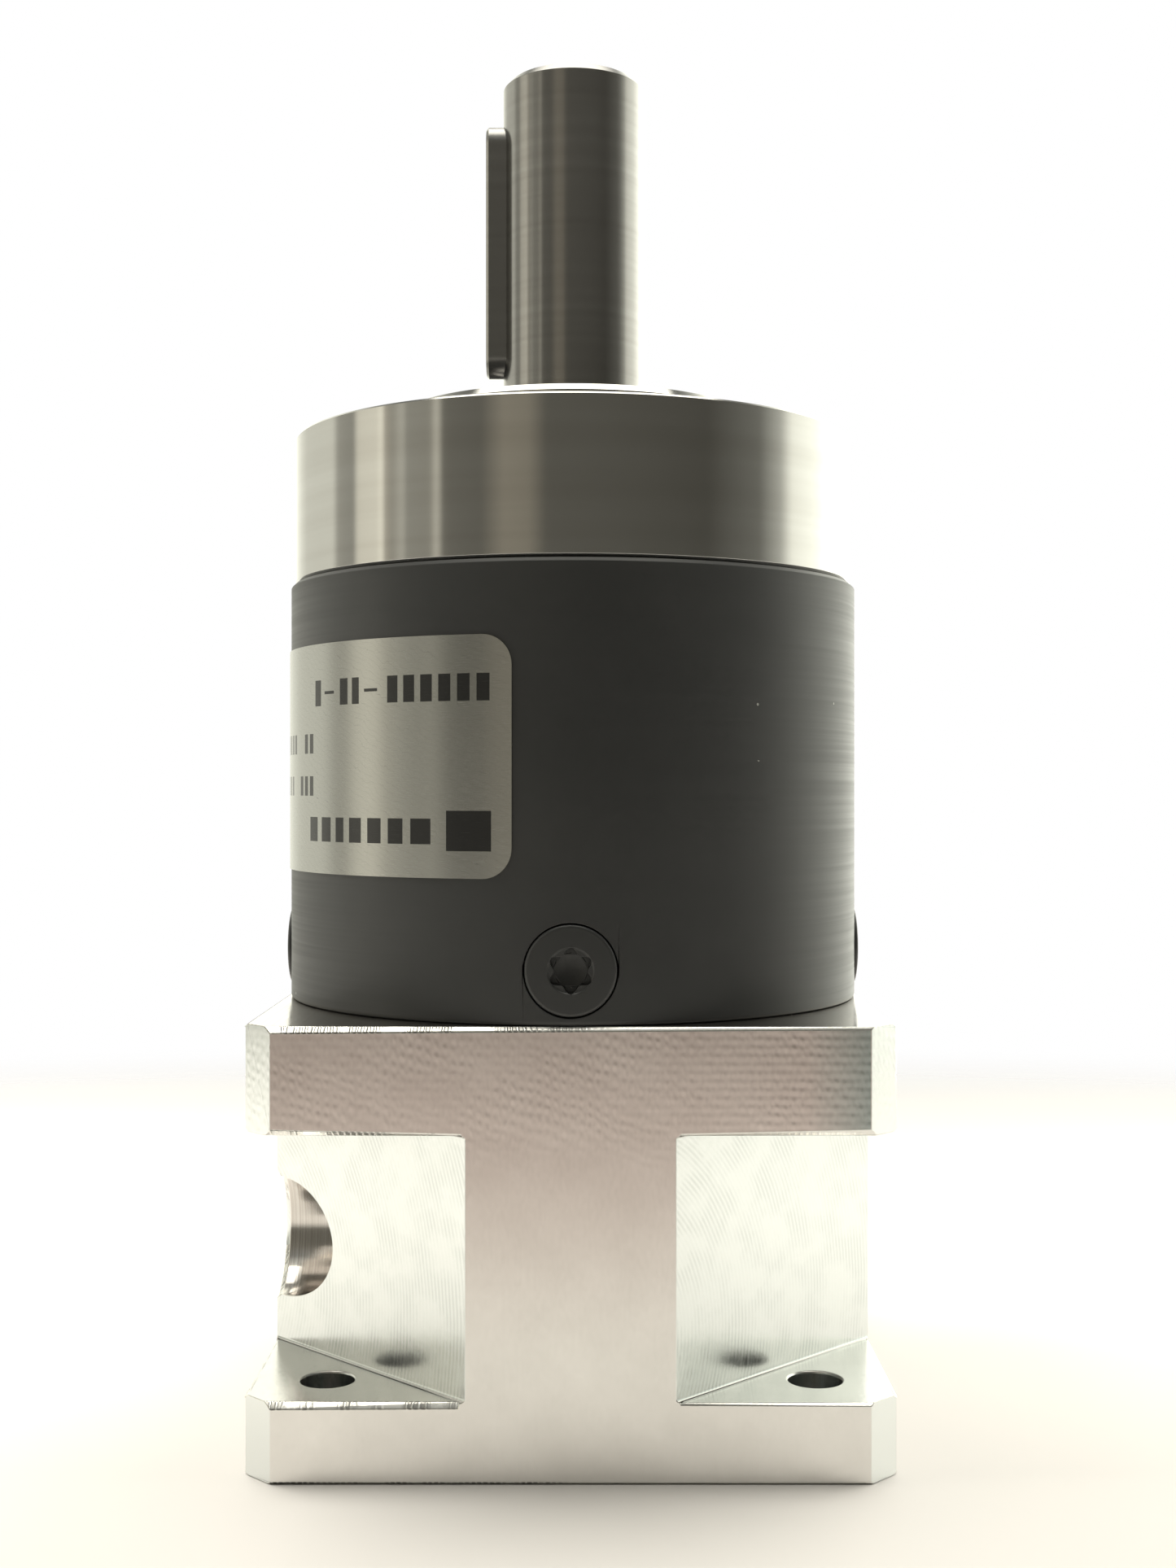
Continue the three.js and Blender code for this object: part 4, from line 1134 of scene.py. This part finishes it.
def world_light():
    """A studio dome: bright at the sides, behind and above, dim in front, with a few strips on the left."""
    world = bpy.data.worlds.new("studio")
    world.use_nodes = True
    bpy.context.scene.world = world
    w = Nodes(world.node_tree)
    w.tree.nodes.clear()
    x, y, z = w.parts(w.node("ShaderNodeTexCoord").outputs["Generated"])
    azimuth = w.math("ARCTAN2", x, w.math("MULTIPLY", y, -1.0))
    share = w.math("ADD", w.math("DIVIDE", azimuth, TURN), 0.5)
    ramp = w.node_with("ShaderNodeValToRGB", share)
    stops = ramp.color_ramp.elements
    for degrees, level, blue in DOME:
        stop = stops.new((degrees + 180) / 360)
        stop.color = (level, level * (0.5 + 0.5 * blue / PLAIN_BLUE), level * blue, 1.0)
    stops.remove(stops[0])
    stops.remove(stops[-1])
    roof = w.node_with("ShaderNodeValToRGB", z)
    for stop, (height, level) in zip(roof.color_ramp.elements, ROOF):
        stop.position = height
        stop.color = (level, level, level * 0.9, 1.0)
    upper = w.ranged(z, ROOF_STARTS, ROOF_WHOLE, kind="SMOOTHSTEP")
    lit = w.node_with("ShaderNodeBackground", w.blend(upper, ramp.outputs[0], roof.outputs[0]))
    paper = w.node_with("ShaderNodeBackground", (1.0, 1.0, 1.0, 1.0))
    seen = w.node_with("ShaderNodeMixShader", w.node("ShaderNodeLightPath").outputs["Is Camera Ray"])
    w.put(seen.inputs[1], lit.outputs[0])
    w.put(seen.inputs[2], paper.outputs[0])
    w.put(w.node("ShaderNodeOutputWorld").inputs[0], seen.outputs[0])


def area_light(name, place, aim, size, power, spread=180, mirrored=False):
    """A softbox that either lights the floor, or shows only as a reflection in the metal."""
    lamp = bpy.data.lights.new(name, "AREA")
    lamp.spread = math.radians(spread)
    lamp.shape = "RECTANGLE"
    lamp.size, lamp.size_y = size
    lamp.energy = power
    lamp.color = (1.0, 0.97, 0.87)
    holder = bpy.data.objects.new(name, lamp)
    holder.location = place
    holder.rotation_euler = (Vector(aim) - Vector(place)).to_track_quat("-Z", "Y").to_euler()
    holder.visible_glossy = mirrored
    holder.visible_diffuse = not mirrored
    holder.visible_camera = False
    bpy.context.scene.collection.objects.link(holder)


FLOOR_RADIUS = 0.6
FLOOR_CENTRE = 0.15  # how far in front of the object the middle of the floor's fade is
FADE_STARTS = 0.25
FADE_ENDS = 0.33


def floor():
    """A matt floor that fades out with distance, so that it has no edge."""
    bpy.ops.mesh.primitive_circle_add(vertices=96, radius=FLOOR_RADIUS, fill_type="NGON")
    disc = bpy.context.object
    disc.name = "studio_floor"
    s = Shader("studio_floor")
    x, y, _ = s.parts(s.place)
    ahead = s.math("ADD", y, FLOOR_CENTRE)
    away = s.math("SQRT", s.math("ADD", s.math("MULTIPLY", x, x), s.math("MULTIPLY", ahead, ahead)))
    s.surface(Base_Color=(0.62, 0.60, 0.59, 1.0), Roughness=0.7)
    mix = s.node_with("ShaderNodeMixShader", s.ranged(away, FADE_STARTS, FADE_ENDS, kind="SMOOTHSTEP"))
    s.put(mix.inputs[1], s.principled.outputs[0])
    s.put(mix.inputs[2], s.node("ShaderNodeBsdfTransparent").outputs[0])
    s.put(s.tree.nodes["Material Output"].inputs["Surface"], mix.outputs[0])
    disc.data.materials.append(s.material)


SIDE = 0.1  # metres from the axis to the two side softboxes
SIDE_BACK = 0.03
SIDE_HEIGHT = 0.14
SIDE_SIZE = (0.12, 0.12)
SIDE_SPREAD = 140
LEFT_WATTS = 0.33
RIGHT_WATTS = 0.24
TOP_PLACE = (0.0, 0.06, 0.45)
TOP_SIZE = (0.34, 0.34)
TOP_WATTS = 1.1

world_light()
floor()
for name, side, watts in (("left_softbox", -SIDE, LEFT_WATTS), ("right_softbox", SIDE, RIGHT_WATTS)):
    area_light(name, (side, SIDE_BACK, SIDE_HEIGHT), (side, SIDE_BACK, 0.0), SIDE_SIZE, watts, SIDE_SPREAD)
area_light("top_softbox", TOP_PLACE, (0.0, TOP_PLACE[1], 0.0), TOP_SIZE, TOP_WATTS, mirrored=True)

CAMERA_DISTANCE = 0.1348
CAMERA_SIDE = 0.00106
CAMERA_HEIGHT = 0.04252
LENS = 43.05
SENSOR_WIDTH = 36.0
CAMERA_SHIFT = 0.00346
camera_data = bpy.data.cameras.new("camera")
camera_data.lens = LENS
camera_data.sensor_width = SENSOR_WIDTH
camera_data.clip_start = 0.005
camera_data.shift_y = CAMERA_SHIFT
camera = bpy.data.objects.new("camera", camera_data)
camera.location = (CAMERA_SIDE, -CAMERA_DISTANCE, CAMERA_HEIGHT)
camera.rotation_euler = (math.pi / 2, 0, 0)
bpy.context.scene.collection.objects.link(camera)
bpy.context.scene.camera = camera
bpy.context.scene.view_settings.view_transform = "Standard"
